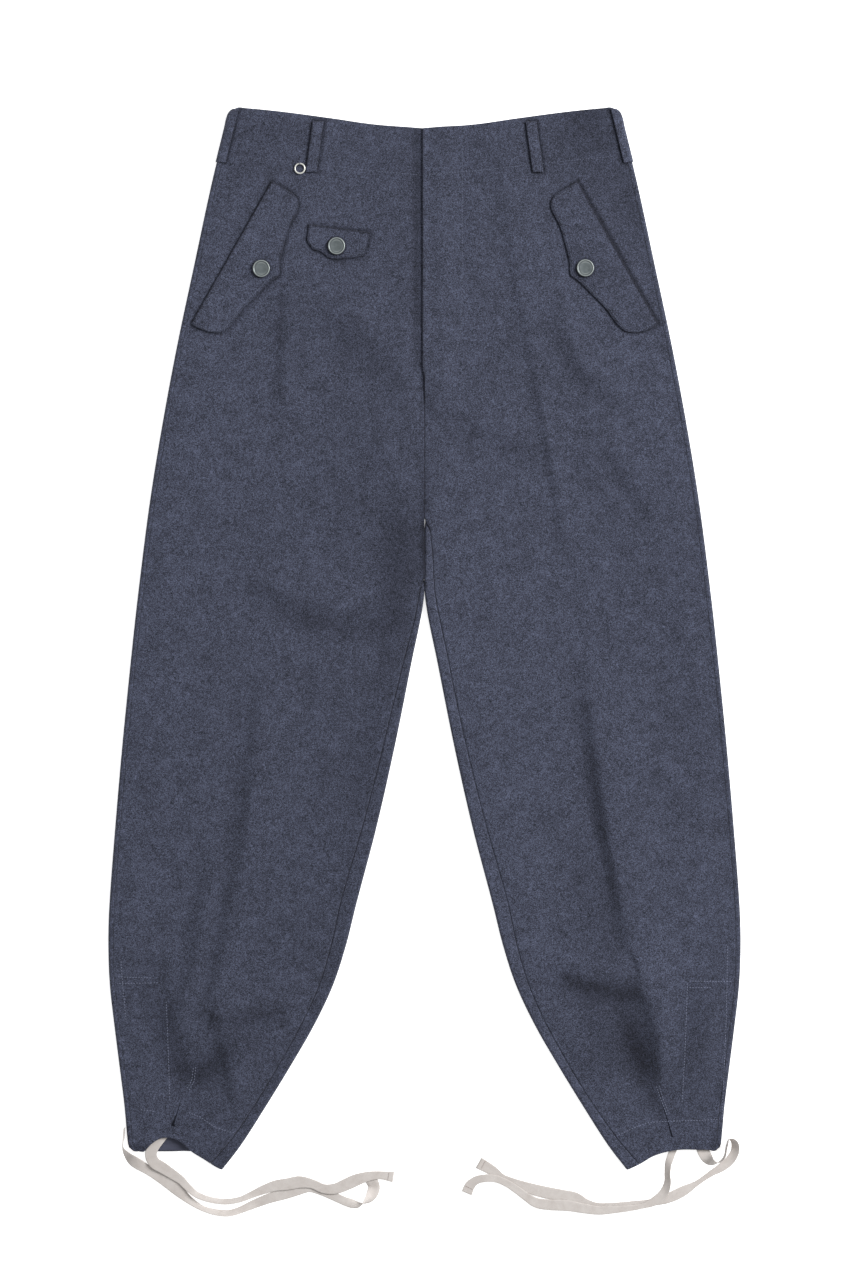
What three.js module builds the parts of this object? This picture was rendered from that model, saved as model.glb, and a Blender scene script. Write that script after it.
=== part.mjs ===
// Military trousers laid flat on their back, front side up.
// Millimetres. X runs across, the waist lies toward +Y, and Z = 0 is the surface they lie on.
// Left and right are the wearer's: the left leg lies on +X, the right leg on -X.
import * as THREE from 'three';

// Cloth and seams
const CLOTH = 2.0;
const HALF = CLOTH / 2;
const SEAM_GAP = 0.6;
const LAY_GAP = 0.4;
const FOLD_RADIUS = 2.2;
const ARC_STEPS = 4;
const FLOOR_MID = HALF;
const FRONT_MID = FLOOR_MID + 2 * FOLD_RADIUS;
const LOWEST_FRONT_MID = 3.6;
const LEG_PUFF = 1.3;

// The leg as it lies: the four ends of its inner and outer edges
const WAIST_INNER_Y = 535.5;
const WAIST_OUTER_Y = 557.5;
const TIP_Y = -558;
const HEM_OUTER_Y = -538;
const CENTRE_GAP = 0.2;
const OUTSEAM_INSET = 5.5;
// Below the crotch the back comes up beside the front, and the inseam runs on at its inset
const SPLIT = { left: { starts: 128, up: 112 }, right: { starts: 66, up: 50 } };
const NARROWEST_INSET = 5;
const INSEAM_INSET = {
  left: [
    { y: 122, inset: 5 }, { y: 82, inset: 9 }, { y: 20, inset: 11.5 }, { y: -65, inset: 11.6 },
    { y: -170, inset: 13.5 }, { y: -275, inset: 15.5 }, { y: -333, inset: 13.6 },
    { y: -414, inset: 10.2 }, { y: -470, inset: 9 }, { y: -516, inset: 10 }, { y: -558, inset: 10.5 },
  ],
  right: [
    { y: 51, inset: 5 }, { y: 0, inset: 7.2 }, { y: -65, inset: 10.3 }, { y: -170, inset: 13.5 },
    { y: -275, inset: 16.2 }, { y: -333, inset: 14.5 }, { y: -414, inset: 11.6 },
    { y: -470, inset: 10.3 }, { y: -516, inset: 9.9 }, { y: -558, inset: 10 },
  ],
};

// Fly
const FLY_END_Y = 284;
const FLY_CLOSED_Y = 275;
const FLY_FLAT_Y = 232;
const FLY_OVERLAP = 2;
const FLY_UNDERLAP = 12;
const FLY_LIFT = CLOTH + 0.8;
const FLY_LIFT_ENDS = { inner: 15, outer: 46 };

// Share of the way across the leg where the pressed crease runs, and the columns beside it
const CREASE_SHARE = { left: 0.5, right: 0.58 };
const COLUMNS_TO_CREASE = [0, 0.26, 0.52, 0.74, 0.89, 1];
const COLUMNS_FROM_CREASE = [0.1, 0.24, 0.44, 0.66, 0.86, 1];
const FLOOR_SHARES = [0.25, 0.5, 0.75];

// Half-width of the outer edge, down the leg
const OUTER_EDGE = [
  { y: 557.5, x: 194 }, { y: 556, x: 200 }, { y: 552.5, x: 204.5 }, { y: 546, x: 207.3 },
  { y: 539, x: 208.8 }, { y: 476, x: 224 }, { y: 392, x: 242 }, { y: 308, x: 259.8 },
  { y: 224, x: 275.5 }, { y: 140, x: 289 }, { y: 42, x: 301.4 }, { y: -28, x: 309 },
  { y: -112, x: 317.4 }, { y: -196, x: 324.7 }, { y: -280, x: 331 }, { y: -322, x: 332.1 },
  { y: -364, x: 330.5 }, { y: -406, x: 325.8 }, { y: -448, x: 320.5 }, { y: -490, x: 315.3 },
  { y: -526, x: 312 }, { y: -533, x: 310.7 }, { y: -536.5, x: 308 }, { y: -538, x: 303.5 },
];
// Distance of the inner edge from the centre line: the legs touch down to y = 42
const INNER_EDGE = [
  { y: 557.5, x: 0 }, { y: 110, x: 0 }, { y: 90, x: 0 }, { y: 42, x: 0.8 }, { y: -28, x: 14.2 },
  { y: -112, x: 31 }, { y: -196, x: 49.9 }, { y: -280, x: 71.9 }, { y: -322, x: 82.4 },
  { y: -364, x: 96.1 }, { y: -406, x: 116 }, { y: -448, x: 140.2 }, { y: -490, x: 165.9 },
  { y: -532, x: 192.7 }, { y: -558, x: 212.6 },
];
// Rise of the top edge and of the hem above the straight line between their ends
const WAIST_RISE = [
  { share: 0, rise: 0 }, { share: 0.27, rise: -2 }, { share: 0.51, rise: -0.7 },
  { share: 0.76, rise: 0.3 }, { share: 1, rise: 0 },
];
const HEM_RISE = [
  { share: 0, rise: 0 }, { share: 0.15, rise: 3.4 }, { share: 0.3, rise: 8.6 },
  { share: 0.46, rise: 10.2 }, { share: 0.62, rise: 9.2 }, { share: 0.86, rise: 4.2 },
  { share: 0.95, rise: 2 }, { share: 1, rise: 0 },
];
const RIGHT_BACK_HEM_RISE = [
  { share: 0, rise: 0 }, { share: 0.1, rise: 2.8 }, { share: 0.2, rise: 6.8 },
  { share: 0.35, rise: 12.2 }, { share: 0.5, rise: 9.1 }, { share: 0.75, rise: 4 },
  { share: 0.9, rise: 1.5 }, { share: 0.95, rise: 0.8 }, { share: 1, rise: 0 },
];
const RIGHT_FRONT_HEM_RISE = [
  { share: 0, rise: 0 }, { share: 0.1, rise: 2.8 }, { share: 0.2, rise: 6.8 },
  { share: 0.35, rise: 12.6 }, { share: 0.45, rise: 19 }, { share: 0.54, rise: 22 },
  { share: 0.66, rise: 21 }, { share: 0.73, rise: 18 }, { share: 0.82, rise: 10.5 },
  { share: 0.9, rise: 1.5 }, { share: 0.95, rise: 0.8 }, { share: 1, rise: 0 },
];
const RISE_FADE = 75;
const SLOPE_REACH = 10;

// Rows across the leg, as shares of the way from waist to hem
const CORNER_ROWS = [0, 0.0016, 0.0052, 0.0106, 0.017];
const BODY_ROWS = [0.05, 0.085, 0.12, 0.155, 0.19, 0.2295, 0.239, 0.277, 0.31, 0.345];
const LOWER_ROW_COUNT = 16;
const LOWER_ROWS_END = 0.935;
const HEM_ROWS = [0.955, 0.972, 0.986, 0.995, 1];

// Largest folds: a curve from, via and to, its height (below zero for a trough) and half-width.
// Each is lowest at its ends, by a share of its height, and fades out near a seam.
const FOLD_END_SHARE = 0.35;
const FOLD_SAMPLES = 16;
const SEAM_FADE = 34;
const FOLDS = {
  left: [
    { from: [76, 481], via: [114, 250], to: [156, -30], height: 1.8, width: 12 },
    { from: [156, -30], via: [195, -254], to: [245, -474], height: 3.6, width: 13 },
    { from: [144, -30], via: [172, -204], to: [196, -300], height: -1.7, width: 13 },
    { from: [231, -215], via: [262, -300], to: [290, -375], height: 3.4, width: 24 },
    { from: [160, -345], via: [198, -412], to: [232, -474], height: -1.8, width: 20 },
    { from: [174, 11], via: [235, 16], to: [289, 11], height: 1.2, width: 16 },
    { from: [6, 250], via: [48, 208], to: [111, 177], height: -1.2, width: 15 },
  ],
  right: [
    { from: [-144, 363], via: [-152, 300], to: [-159, 237], height: 1.3, width: 12 },
    { from: [-110, 342], via: [-70, 305], to: [-33, 264], height: -1.2, width: 15 },
    { from: [-186, 69], via: [-138, 27], to: [-60, 6], height: -1.4, width: 15 },
    { from: [-205, -90], via: [-222, -240], to: [-252, -335], height: 2.6, width: 14 },
    { from: [-180, -30], via: [-192, -205], to: [-238, -350], height: -1.6, width: 14 },
    { from: [-165, -375], via: [-215, -430], to: [-262, -455], height: -1.8, width: 20 },
    { from: [-130, -290], via: [-160, -330], to: [-190, -350], height: 2.6, width: 18 },
    { from: [-262, -490], via: [-263, -515], to: [-264, -545], height: 5, width: 24 },
  ],
};

// Slanting pocket flap: its straight edge, then its depth along that edge
const HIP_FLAP = {
  top: [160.5, 479.3],
  bottom: [245.5, 329.2],
  thickness: 2.2,
  outline: [
    { along: 0, depth: 30 }, { along: 2, depth: 33.5 }, { along: 6, depth: 37.5 },
    { along: 14, depth: 38.8 }, { along: 33, depth: 39.7 }, { along: 51, depth: 43.9 },
    { along: 69, depth: 49 }, { along: 82, depth: 54.9 }, { along: 90.5, depth: 51.1 },
    { along: 108, depth: 46.3 }, { along: 130, depth: 40.4 }, { along: 148, depth: 38.3 },
    { along: 158, depth: 35.8 }, { along: 164.5, depth: 30.9 }, { along: 169.5, depth: 21.5 },
    { along: 172, depth: 8 },
  ],
};
const WATCH_FLAP = {
  top: [-119.9, 434],
  bottom: [-59.3, 425.8],
  thickness: 2.2,
  outline: [
    { along: -1.5, depth: 14 }, { along: 0, depth: 18.8 }, { along: 3.5, depth: 22.5 },
    { along: 6.3, depth: 25.4 }, { along: 15.5, depth: 27.1 }, { along: 23, depth: 31.6 },
    { along: 30.6, depth: 32.3 }, { along: 43, depth: 30 }, { along: 57.2, depth: 25.9 },
    { along: 60.5, depth: 21.9 }, { along: 62.9, depth: 5 },
  ],
};
const FLAP_COLUMNS = 5;

// Buttons: dished discs on a short shank
const BUTTON = { radius: 9.4, height: 2.6, dish: 0.9, rim: 1.9, shankRadius: 2.6, shank: 1.2 };
const BUTTON_SEGMENTS = 20;
const BUTTON_PLACES = {
  left_flap_button: [168.5, 388.2],
  right_flap_button: [-171, 387.6],
  watch_flap_button: [-92.2, 411.9],
};

// Belt loops
const LOOP = { width: 11.5, thickness: 2, stand: 1.4, sewnShare: 0.2, rows: 9 };
const FRONT_LOOP = { top: [111.5, 542], bottom: [119, 488.8] };
const SIDE_LOOP = { topShare: 0.0075, bottomShare: 0.0525, onFront: 9.5, rows: 7, ease: 0.2 };

// Watch ring, hinged on its thread at the top
const RING = { x: -130.7, hingeY: 497.9, meanRadius: 5.1, wire: 0.8, sides: 8, segments: 24 };
const TACK = { thread: 0.4, clearance: 0.35, sweep: 236, steps: 10 };

// Facing that shows inside the right cuff
const CUFF_FACING = { from: 0.24, to: 0.86, depth: 30, thickness: 1, columns: 9 };

// Ankle tapes: route of the middle line, with z and the tilt of the flat section in degrees
const TAPE = { width: 12.5, thickness: 0.9, sampleStep: 0.8 };
const ROUTES = {
  right_outer_tape: [
    { x: -315, y: -514, z: 7, tilt: 90 }, { x: -315.5, y: -523, z: 7, tilt: 90 },
    { x: -316.5, y: -533, z: 7, tilt: 80 }, { x: -312, y: -542, z: 5.4, tilt: 48 },
    { x: -304, y: -550, z: 2.6, tilt: 16 }, { x: -290, y: -559, z: 0.65, tilt: 0 },
    { x: -275, y: -568, z: 0.65, tilt: 0 }, { x: -260, y: -579, z: 0.8, tilt: 0 },
    { x: -247, y: -590, z: 2.6, tilt: -18 }, { x: -233, y: -598, z: 5.4, tilt: -45 },
    { x: -219, y: -602, z: 6, tilt: -55 }, { x: -205, y: -603, z: 5.4, tilt: -45 },
    { x: -193, y: -600, z: 3, tilt: -20 }, { x: -178, y: -594, z: 0.8, tilt: 0 },
    { x: -162, y: -588, z: 0.65, tilt: 0 }, { x: -146, y: -583, z: 0.65, tilt: 0 },
    { x: -133, y: -579, z: 0.65, tilt: 0 }, { x: -121, y: -577, z: 0.65, tilt: 0 },
    { x: -110, y: -580, z: 0.65, tilt: 0 }, { x: -96, y: -586, z: 0.65, tilt: 0 },
    { x: -81, y: -592, z: 2.6, tilt: -20 }, { x: -68, y: -594, z: 6.8, tilt: -80 },
    { x: -58, y: -588, z: 5.2, tilt: -140 }, { x: -53, y: -577, z: 0.8, tilt: -180 },
    { x: -57, y: -567, z: 0.6, tilt: -180 },
  ],
  right_inner_tape: [
    { x: -268, y: -510, z: 4.3, tilt: 0 }, { x: -274, y: -519, z: 4.3, tilt: 0 },
    { x: -281, y: -528, z: 4.3, tilt: 0 }, { x: -286, y: -536, z: 4.1, tilt: 0 },
    { x: -287, y: -544, z: 3.6, tilt: 0 }, { x: -283, y: -551, z: 3, tilt: 0 },
    { x: -275, y: -556, z: 2.4, tilt: 0 }, { x: -266, y: -562, z: 2, tilt: 0 },
    { x: -256, y: -569, z: 2, tilt: 0 }, { x: -248, y: -577, z: 2.4, tilt: -10 },
    { x: -239, y: -584, z: 4, tilt: -32 }, { x: -225, y: -589, z: 4.8, tilt: -42 },
    { x: -209, y: -591, z: 4.8, tilt: -42 }, { x: -194, y: -589, z: 4.4, tilt: -32 },
    { x: -181, y: -584, z: 2.6, tilt: -10 }, { x: -169, y: -579, z: 2, tilt: 0 },
    { x: -157, y: -575, z: 2, tilt: 0 }, { x: -143, y: -573, z: 2, tilt: 0 },
    { x: -131, y: -571, z: 2, tilt: 0 }, { x: -118, y: -573, z: 2, tilt: 0 },
    { x: -106, y: -578, z: 2, tilt: 0 }, { x: -94, y: -578, z: 2, tilt: 0 },
    { x: -83, y: -574, z: 2, tilt: 0 }, { x: -72, y: -569, z: 2, tilt: 0 },
    { x: -59, y: -565, z: 2, tilt: 0 }, { x: -46, y: -564, z: 1.4, tilt: 0 },
    { x: -32.5, y: -566, z: 0.65, tilt: 0 },
  ],
  left_inner_tape: [
    { x: 264, y: -522, z: 3.2, tilt: 0 }, { x: 262, y: -533, z: 3.2, tilt: 0 },
    { x: 259, y: -543, z: 3.2, tilt: 0 }, { x: 256, y: -552, z: 4, tilt: 26 },
    { x: 255, y: -562, z: 4.6, tilt: 38 }, { x: 255, y: -572, z: 4.6, tilt: 30 },
    { x: 251, y: -583, z: 3, tilt: 8 }, { x: 242, y: -591, z: 2.2, tilt: 0 },
    { x: 230, y: -596, z: 2, tilt: 0 }, { x: 216, y: -598.5, z: 2, tilt: 0 },
    { x: 200, y: -600, z: 2, tilt: 0 }, { x: 184, y: -601, z: 2, tilt: 0 },
    { x: 168, y: -599, z: 2, tilt: 0 }, { x: 151, y: -596, z: 2, tilt: 0 },
    { x: 132, y: -595, z: 2, tilt: 0 }, { x: 118, y: -593, z: 2, tilt: 0 },
    { x: 107.5, y: -587, z: 2, tilt: 0 }, { x: 98, y: -580, z: 2, tilt: 0 },
    { x: 87.5, y: -573, z: 2, tilt: 0 }, { x: 76, y: -568, z: 2, tilt: 0 },
    { x: 65, y: -567, z: 2, tilt: 0 }, { x: 55, y: -569, z: 1.4, tilt: 0 },
    { x: 48, y: -575, z: 0.8, tilt: 0 }, { x: 44.5, y: -583, z: 0.65, tilt: 0 },
  ],
  left_outer_tape: [
    { x: 289, y: -529, z: 3.2, tilt: 0 }, { x: 294, y: -541, z: 3.2, tilt: 0 },
    { x: 300, y: -549, z: 5.2, tilt: 42 }, { x: 308, y: -550, z: 7, tilt: 80 },
    { x: 314.5, y: -544, z: 7, tilt: 90 }, { x: 317, y: -533, z: 7, tilt: 90 },
    { x: 320, y: -525, z: 7, tilt: 80 }, { x: 325.5, y: -529.5, z: 5.6, tilt: 50 },
    { x: 326, y: -539, z: 3, tilt: 20 }, { x: 321, y: -548.5, z: 1, tilt: 4 },
    { x: 312, y: -556, z: 0.65, tilt: 0 }, { x: 301, y: -562.5, z: 0.65, tilt: 0 },
    { x: 287, y: -572, z: 0.65, tilt: 0 }, { x: 272.5, y: -580.5, z: 0.65, tilt: 0 },
    { x: 256.5, y: -588, z: 0.65, tilt: 0 }, { x: 239, y: -592.5, z: 0.65, tilt: 0 },
    { x: 218, y: -594, z: 0.65, tilt: 0 }, { x: 198, y: -596, z: 0.65, tilt: 0 },
    { x: 182, y: -597, z: 0.65, tilt: 0 }, { x: 169.5, y: -593.5, z: 0.65, tilt: 0 },
    { x: 158, y: -587.5, z: 0.65, tilt: 0 }, { x: 142, y: -585, z: 0.65, tilt: 0 },
    { x: 124.5, y: -581.5, z: 0.65, tilt: 0 }, { x: 107.5, y: -577, z: 0.65, tilt: 0 },
    { x: 92, y: -571.5, z: 0.65, tilt: 0 }, { x: 81.5, y: -567, z: 0.65, tilt: 0 },
    { x: 71, y: -559, z: 0.65, tilt: 0 }, { x: 57, y: -551, z: 0.65, tilt: 0 },
  ],
};

// Finishes
const FINISH = {
  wool: { color: 0x494c5b, roughness: 0.95, metalness: 0 },
  facing: { color: 0x3b3e4d, roughness: 0.8, metalness: 0 },
  tape: { color: 0xcdc8c3, roughness: 0.85, metalness: 0 },
  button: { color: 0x676c6f, roughness: 0.4, metalness: 0.8 },
  ring: { color: 0xb9babd, roughness: 0.3, metalness: 1 },
  thread: { color: 0x35384a, roughness: 0.9, metalness: 0 },
};

const garment = new THREE.Group();

function addPiece(name, geometry, finish) {
  const mesh = new THREE.Mesh(geometry, new THREE.MeshStandardMaterial(FINISH[finish]));
  mesh.name = name;
  garment.add(mesh);
}

function smoothstep(from, to, value) {
  const share = THREE.MathUtils.clamp((value - from) / (to - from), 0, 1);
  return share * share * (3 - 2 * share);
}

// Smooth value of a table's column at a key, by a cubic through its rows
function readTable(table, keyName, valueName, key) {
  const rising = table[table.length - 1][keyName] > table[0][keyName] ? 1 : -1;
  let row = 0;
  while (row < table.length - 2 && rising * (key - table[row + 1][keyName]) > 0) row += 1;
  const slopeAt = (index) => {
    const before = table[Math.max(index - 1, 0)];
    const after = table[Math.min(index + 1, table.length - 1)];
    return (after[valueName] - before[valueName]) / (after[keyName] - before[keyName]);
  };
  const start = table[row];
  const end = table[row + 1];
  const span = end[keyName] - start[keyName];
  const share = THREE.MathUtils.clamp((key - start[keyName]) / span, 0, 1);
  const square = share * share;
  const cube = square * share;
  return start[valueName] * (2 * cube - 3 * square + 1)
    + end[valueName] * (3 * square - 2 * cube)
    + slopeAt(row) * span * (cube - 2 * square + share)
    + slopeAt(row + 1) * span * (cube - square);
}

// Closed wall about a grid of middle points, thickened both ways along the grid's normals
function wallFromGrid(grid, thickness) {
  const rowCount = grid.length;
  const columnCount = grid[0].length;
  const faces = [[], []];
  for (let row = 0; row < rowCount; row += 1) {
    for (let column = 0; column < columnCount; column += 1) {
      const down = new THREE.Vector3().subVectors(
        grid[Math.min(row + 1, rowCount - 1)][column], grid[Math.max(row - 1, 0)][column]);
      const across = new THREE.Vector3().subVectors(
        grid[row][Math.min(column + 1, columnCount - 1)], grid[row][Math.max(column - 1, 0)]);
      const normal = down.cross(across).normalize().multiplyScalar(thickness / 2);
      faces[0].push(grid[row][column].clone().add(normal));
      faces[1].push(grid[row][column].clone().sub(normal));
    }
  }
  const count = rowCount * columnCount;
  const index = [];
  const quad = (a, b, c, d) => index.push(a, b, c, a, c, d);
  const at = (row, column) => row * columnCount + column;
  for (let row = 0; row < rowCount - 1; row += 1) {
    for (let column = 0; column < columnCount - 1; column += 1) {
      const corners = [at(row, column), at(row + 1, column), at(row + 1, column + 1), at(row, column + 1)];
      quad(...corners);
      quad(...corners.reverse().map((corner) => corner + count));
    }
  }
  const closeEdge = (from, to) => quad(from, to, to + count, from + count);
  for (let row = 0; row < rowCount - 1; row += 1) {
    closeEdge(at(row + 1, 0), at(row, 0));
    closeEdge(at(row, columnCount - 1), at(row + 1, columnCount - 1));
  }
  for (let column = 0; column < columnCount - 1; column += 1) {
    closeEdge(at(0, column), at(0, column + 1));
    closeEdge(at(rowCount - 1, column + 1), at(rowCount - 1, column));
  }
  return geometryFrom([...faces[0], ...faces[1]], index);
}

function geometryFrom(points, index) {
  const geometry = new THREE.BufferGeometry().setFromPoints(points);
  geometry.setIndex(index);
  geometry.computeVertexNormals();
  return geometry;
}

// Closed tube through rings of points, with flat ends
function tubeFromRings(rings) {
  const sides = rings[0].length;
  const index = [];
  for (let ring = 0; ring < rings.length - 1; ring += 1) {
    for (let side = 0; side < sides; side += 1) {
      const next = (side + 1) % sides;
      const base = ring * sides;
      index.push(base + side, base + next, base + sides + next);
      index.push(base + side, base + sides + next, base + sides + side);
    }
  }
  const last = (rings.length - 1) * sides;
  for (let side = 1; side < sides - 1; side += 1) {
    index.push(0, side + 1, side);
    index.push(last, last + side, last + side + 1);
  }
  return geometryFrom(rings.flat(), index);
}

// One slanting row across a leg, in the leg's own half (x above zero)
function rowAcross(side, share) {
  const innerY = THREE.MathUtils.lerp(WAIST_INNER_Y, TIP_Y, share);
  const outerY = THREE.MathUtils.lerp(WAIST_OUTER_Y, HEM_OUTER_Y, share);
  const innerX = readTable(INNER_EDGE, 'y', 'x', innerY) + CENTRE_GAP;
  const outerX = readTable(OUTER_EDGE, 'y', 'x', outerY);
  const inner = new THREE.Vector2(innerX, innerY);
  const outer = new THREE.Vector2(outerX, outerY);
  const above = Math.min(innerY + SLOPE_REACH, WAIST_INNER_Y);
  const below = Math.max(innerY - SLOPE_REACH, TIP_Y);
  const run = readTable(INNER_EDGE, 'y', 'x', below) - readTable(INNER_EDGE, 'y', 'x', above);
  const slant = Math.cos(Math.atan(run / (above - below)));
  const risen = smoothstep(SPLIT[side].starts, SPLIT[side].up, innerY);
  const inset = Math.max(readTable(INSEAM_INSET[side], 'y', 'inset', innerY), NARROWEST_INSET);
  const width = inner.distanceTo(outer);
  return { share, inner, outer, width, innerY, risen, inseam: (risen * inset) / slant };
}

// Point of a row at a distance from its inner end, moved up by the waist's and the hem's curve
function placeOnRow(row, distance, z, hemRise) {
  const across = distance / row.width;
  const point = row.inner.clone().lerp(row.outer, across);
  const toHem = (1 - row.share) * (WAIST_INNER_Y - TIP_Y);
  const toWaist = row.share * (WAIST_INNER_Y - TIP_Y);
  const inLeg = THREE.MathUtils.clamp(across, 0, 1);
  point.y += readTable(hemRise, 'share', 'rise', inLeg) * (1 - smoothstep(0, RISE_FADE, toHem));
  point.y += readTable(WAIST_RISE, 'share', 'rise', inLeg) * (1 - smoothstep(0, RISE_FADE, toWaist));
  return new THREE.Vector3(point.x, point.y, z);
}

function foldHeight(fold, x, y) {
  const curve = new THREE.QuadraticBezierCurve(
    new THREE.Vector2(...fold.from), new THREE.Vector2(...fold.via), new THREE.Vector2(...fold.to));
  let nearest = Infinity;
  let nearestShare = 0;
  for (let sample = 0; sample <= FOLD_SAMPLES; sample += 1) {
    const distance = curve.getPoint(sample / FOLD_SAMPLES).distanceTo(new THREE.Vector2(x, y));
    if (distance < nearest) {
      nearest = distance;
      nearestShare = sample / FOLD_SAMPLES;
    }
  }
  const along = THREE.MathUtils.lerp(FOLD_END_SHARE, 1, Math.sin(Math.PI * nearestShare));
  return fold.height * along * Math.exp(-((nearest / fold.width) ** 2));
}

// Height of the front cloth's middle, for a point at a distance from its row's ends
function frontHeight(side, row, distance, point) {
  const x = side === 'left' ? point.x : -point.x;
  const fromSeam = Math.min(distance - row.inseam, row.width - OUTSEAM_INSET - distance);
  const free = smoothstep(0, SEAM_FADE, fromSeam);
  const folds = FOLDS[side].reduce((sum, fold) => sum + foldHeight(fold, x, point.y), 0);
  const height = FRONT_MID + free * (LEG_PUFF + folds);
  const flyOpen = 1 - smoothstep(FLY_CLOSED_Y, FLY_FLAT_Y, row.innerY);
  const overFly = 1 - smoothstep(FLY_LIFT_ENDS.inner, FLY_LIFT_ENDS.outer, point.x);
  const lift = side === 'left' ? FLY_LIFT * flyOpen * overFly : 0;
  return Math.max(height, LOWEST_FRONT_MID) + lift;
}

const SIGN = { left: 1, right: -1 };
const BODY_TO_HEM = Array.from({ length: LOWER_ROW_COUNT }, (unused, step) =>
  THREE.MathUtils.lerp(BODY_ROWS[BODY_ROWS.length - 1], LOWER_ROWS_END, (step + 1) / LOWER_ROW_COUNT));
function rowsOf(side) {
  const split = Object.values(SPLIT[side]).map((y) => (WAIST_INNER_Y - y) / (WAIST_INNER_Y - TIP_Y));
  const shares = [...CORNER_ROWS, ...BODY_ROWS, ...BODY_TO_HEM, ...HEM_ROWS, ...split];
  return shares.sort((a, b) => a - b).map((share) => rowAcross(side, share));
}
const ROWS = { left: rowsOf('left'), right: rowsOf('right') };

// Where the front panel starts, past the inseam, the centre seam or the fly
function frontStart(side, row) {
  const closed = smoothstep(FLY_END_Y, FLY_CLOSED_Y, row.innerY);
  const flyEdge = side === 'left' ? -FLY_OVERLAP : -FLY_UNDERLAP;
  return THREE.MathUtils.lerp(flyEdge, row.inseam + SEAM_GAP / 2, closed);
}

function frontGrid(side) {
  const crease = CREASE_SHARE[side];
  const columns = [
    ...COLUMNS_TO_CREASE.map((share) => share * crease),
    ...COLUMNS_FROM_CREASE.map((share) => crease + share * (1 - crease)),
  ];
  const hemRise = side === 'left' ? HEM_RISE : RIGHT_FRONT_HEM_RISE;
  return ROWS[side].map((row) => {
    const start = frontStart(side, row);
    const end = row.width - OUTSEAM_INSET - SEAM_GAP / 2;
    return columns.map((share) => {
      const distance = THREE.MathUtils.lerp(start, end, share);
      const point = placeOnRow(row, distance, 0, hemRise);
      point.z = frontHeight(side, row, distance, point);
      point.x *= SIGN[side];
      return point;
    });
  });
}

// The back panel's section: along the surface, up round both edges and onto the front
function backGrid(side) {
  const hemRise = side === 'left' ? HEM_RISE : RIGHT_BACK_HEM_RISE;
  const edge = FOLD_RADIUS + HALF;
  return ROWS[side].map((row) => {
    const section = [];
    const { risen } = row;
    const flatStart = CENTRE_GAP / 2;
    const inseamEnd = Math.max(row.inseam - SEAM_GAP / 2, edge);
    const wrapped = [[inseamEnd, FRONT_MID], [(inseamEnd + edge) / 2, FRONT_MID]];
    for (let step = 0; step <= ARC_STEPS; step += 1) {
      const angle = Math.PI / 2 + (Math.PI * step) / ARC_STEPS;
      wrapped.push([edge + FOLD_RADIUS * Math.cos(angle), FLOOR_MID + FOLD_RADIUS * (1 + Math.sin(angle))]);
    }
    wrapped.forEach(([distance, z], step) => {
      const flat = THREE.MathUtils.lerp(flatStart, edge, step / (wrapped.length - 1));
      const height = THREE.MathUtils.lerp(FLOOR_MID, z, risen);
      section.push([THREE.MathUtils.lerp(flat, distance, risen), height]);
    });
    FLOOR_SHARES.forEach((share) => {
      section.push([THREE.MathUtils.lerp(edge, row.width - edge, share), FLOOR_MID]);
    });
    for (let step = 0; step <= ARC_STEPS; step += 1) {
      const angle = -Math.PI / 2 + (Math.PI * step) / ARC_STEPS;
      const distance = row.width - edge + FOLD_RADIUS * Math.cos(angle);
      section.push([distance, FLOOR_MID + FOLD_RADIUS * (1 + Math.sin(angle))]);
    }
    section.push([row.width - OUTSEAM_INSET + SEAM_GAP / 2, FRONT_MID]);
    return section.map(([distance, z]) => {
      const point = placeOnRow(row, distance, z, hemRise);
      point.x *= SIGN[side];
      return point;
    });
  });
}

// Height of a panel's middle surface under a point, read from its own triangles
function surfaceHeight(grid, x, y) {
  const corner = new THREE.Vector3();
  const flat = new THREE.Vector3(x, y, 0);
  let height = FRONT_MID;
  for (let row = 0; row < grid.length - 1; row += 1) {
    for (let column = 0; column < grid[0].length - 1; column += 1) {
      const a = grid[row][column];
      const b = grid[row + 1][column];
      const c = grid[row + 1][column + 1];
      const d = grid[row][column + 1];
      [[a, b, c], [a, c, d]].forEach((triangle) => {
        const [p, q, r] = triangle.map((vertex) => new THREE.Vector3(vertex.x, vertex.y, 0));
        if (THREE.Triangle.getBarycoord(flat, p, q, r, corner) === null) return;
        if (Math.min(corner.x, corner.y, corner.z) < 0) return;
        height = triangle[0].z * corner.x + triangle[1].z * corner.y + triangle[2].z * corner.z;
      });
    }
  }
  return height;
}

// A flap on a panel: rows down its straight edge, columns out to its free edge
function flapGrid(flap, mirrored, panel) {
  const top = new THREE.Vector2(...flap.top);
  const bottom = new THREE.Vector2(...flap.bottom);
  const along = bottom.clone().sub(top).normalize();
  const out = new THREE.Vector2(along.y, -along.x);
  const rise = HALF + LAY_GAP + flap.thickness / 2;
  return flap.outline.map(({ along: travel, depth }) => {
    const edge = top.clone().addScaledVector(along, travel);
    return Array.from({ length: FLAP_COLUMNS }, (unused, column) => {
      const point = edge.clone().addScaledVector(out, (depth * column) / (FLAP_COLUMNS - 1));
      const x = mirrored ? -point.x : point.x;
      return new THREE.Vector3(x, point.y, surfaceHeight(panel, x, point.y) + rise);
    });
  });
}

// A strip with a width across its path, such as a belt loop
function stripGrid(path, across) {
  return path.map((point) => [-0.5, 0, 0.5].map((share) => point.clone().addScaledVector(across, share)));
}

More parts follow.
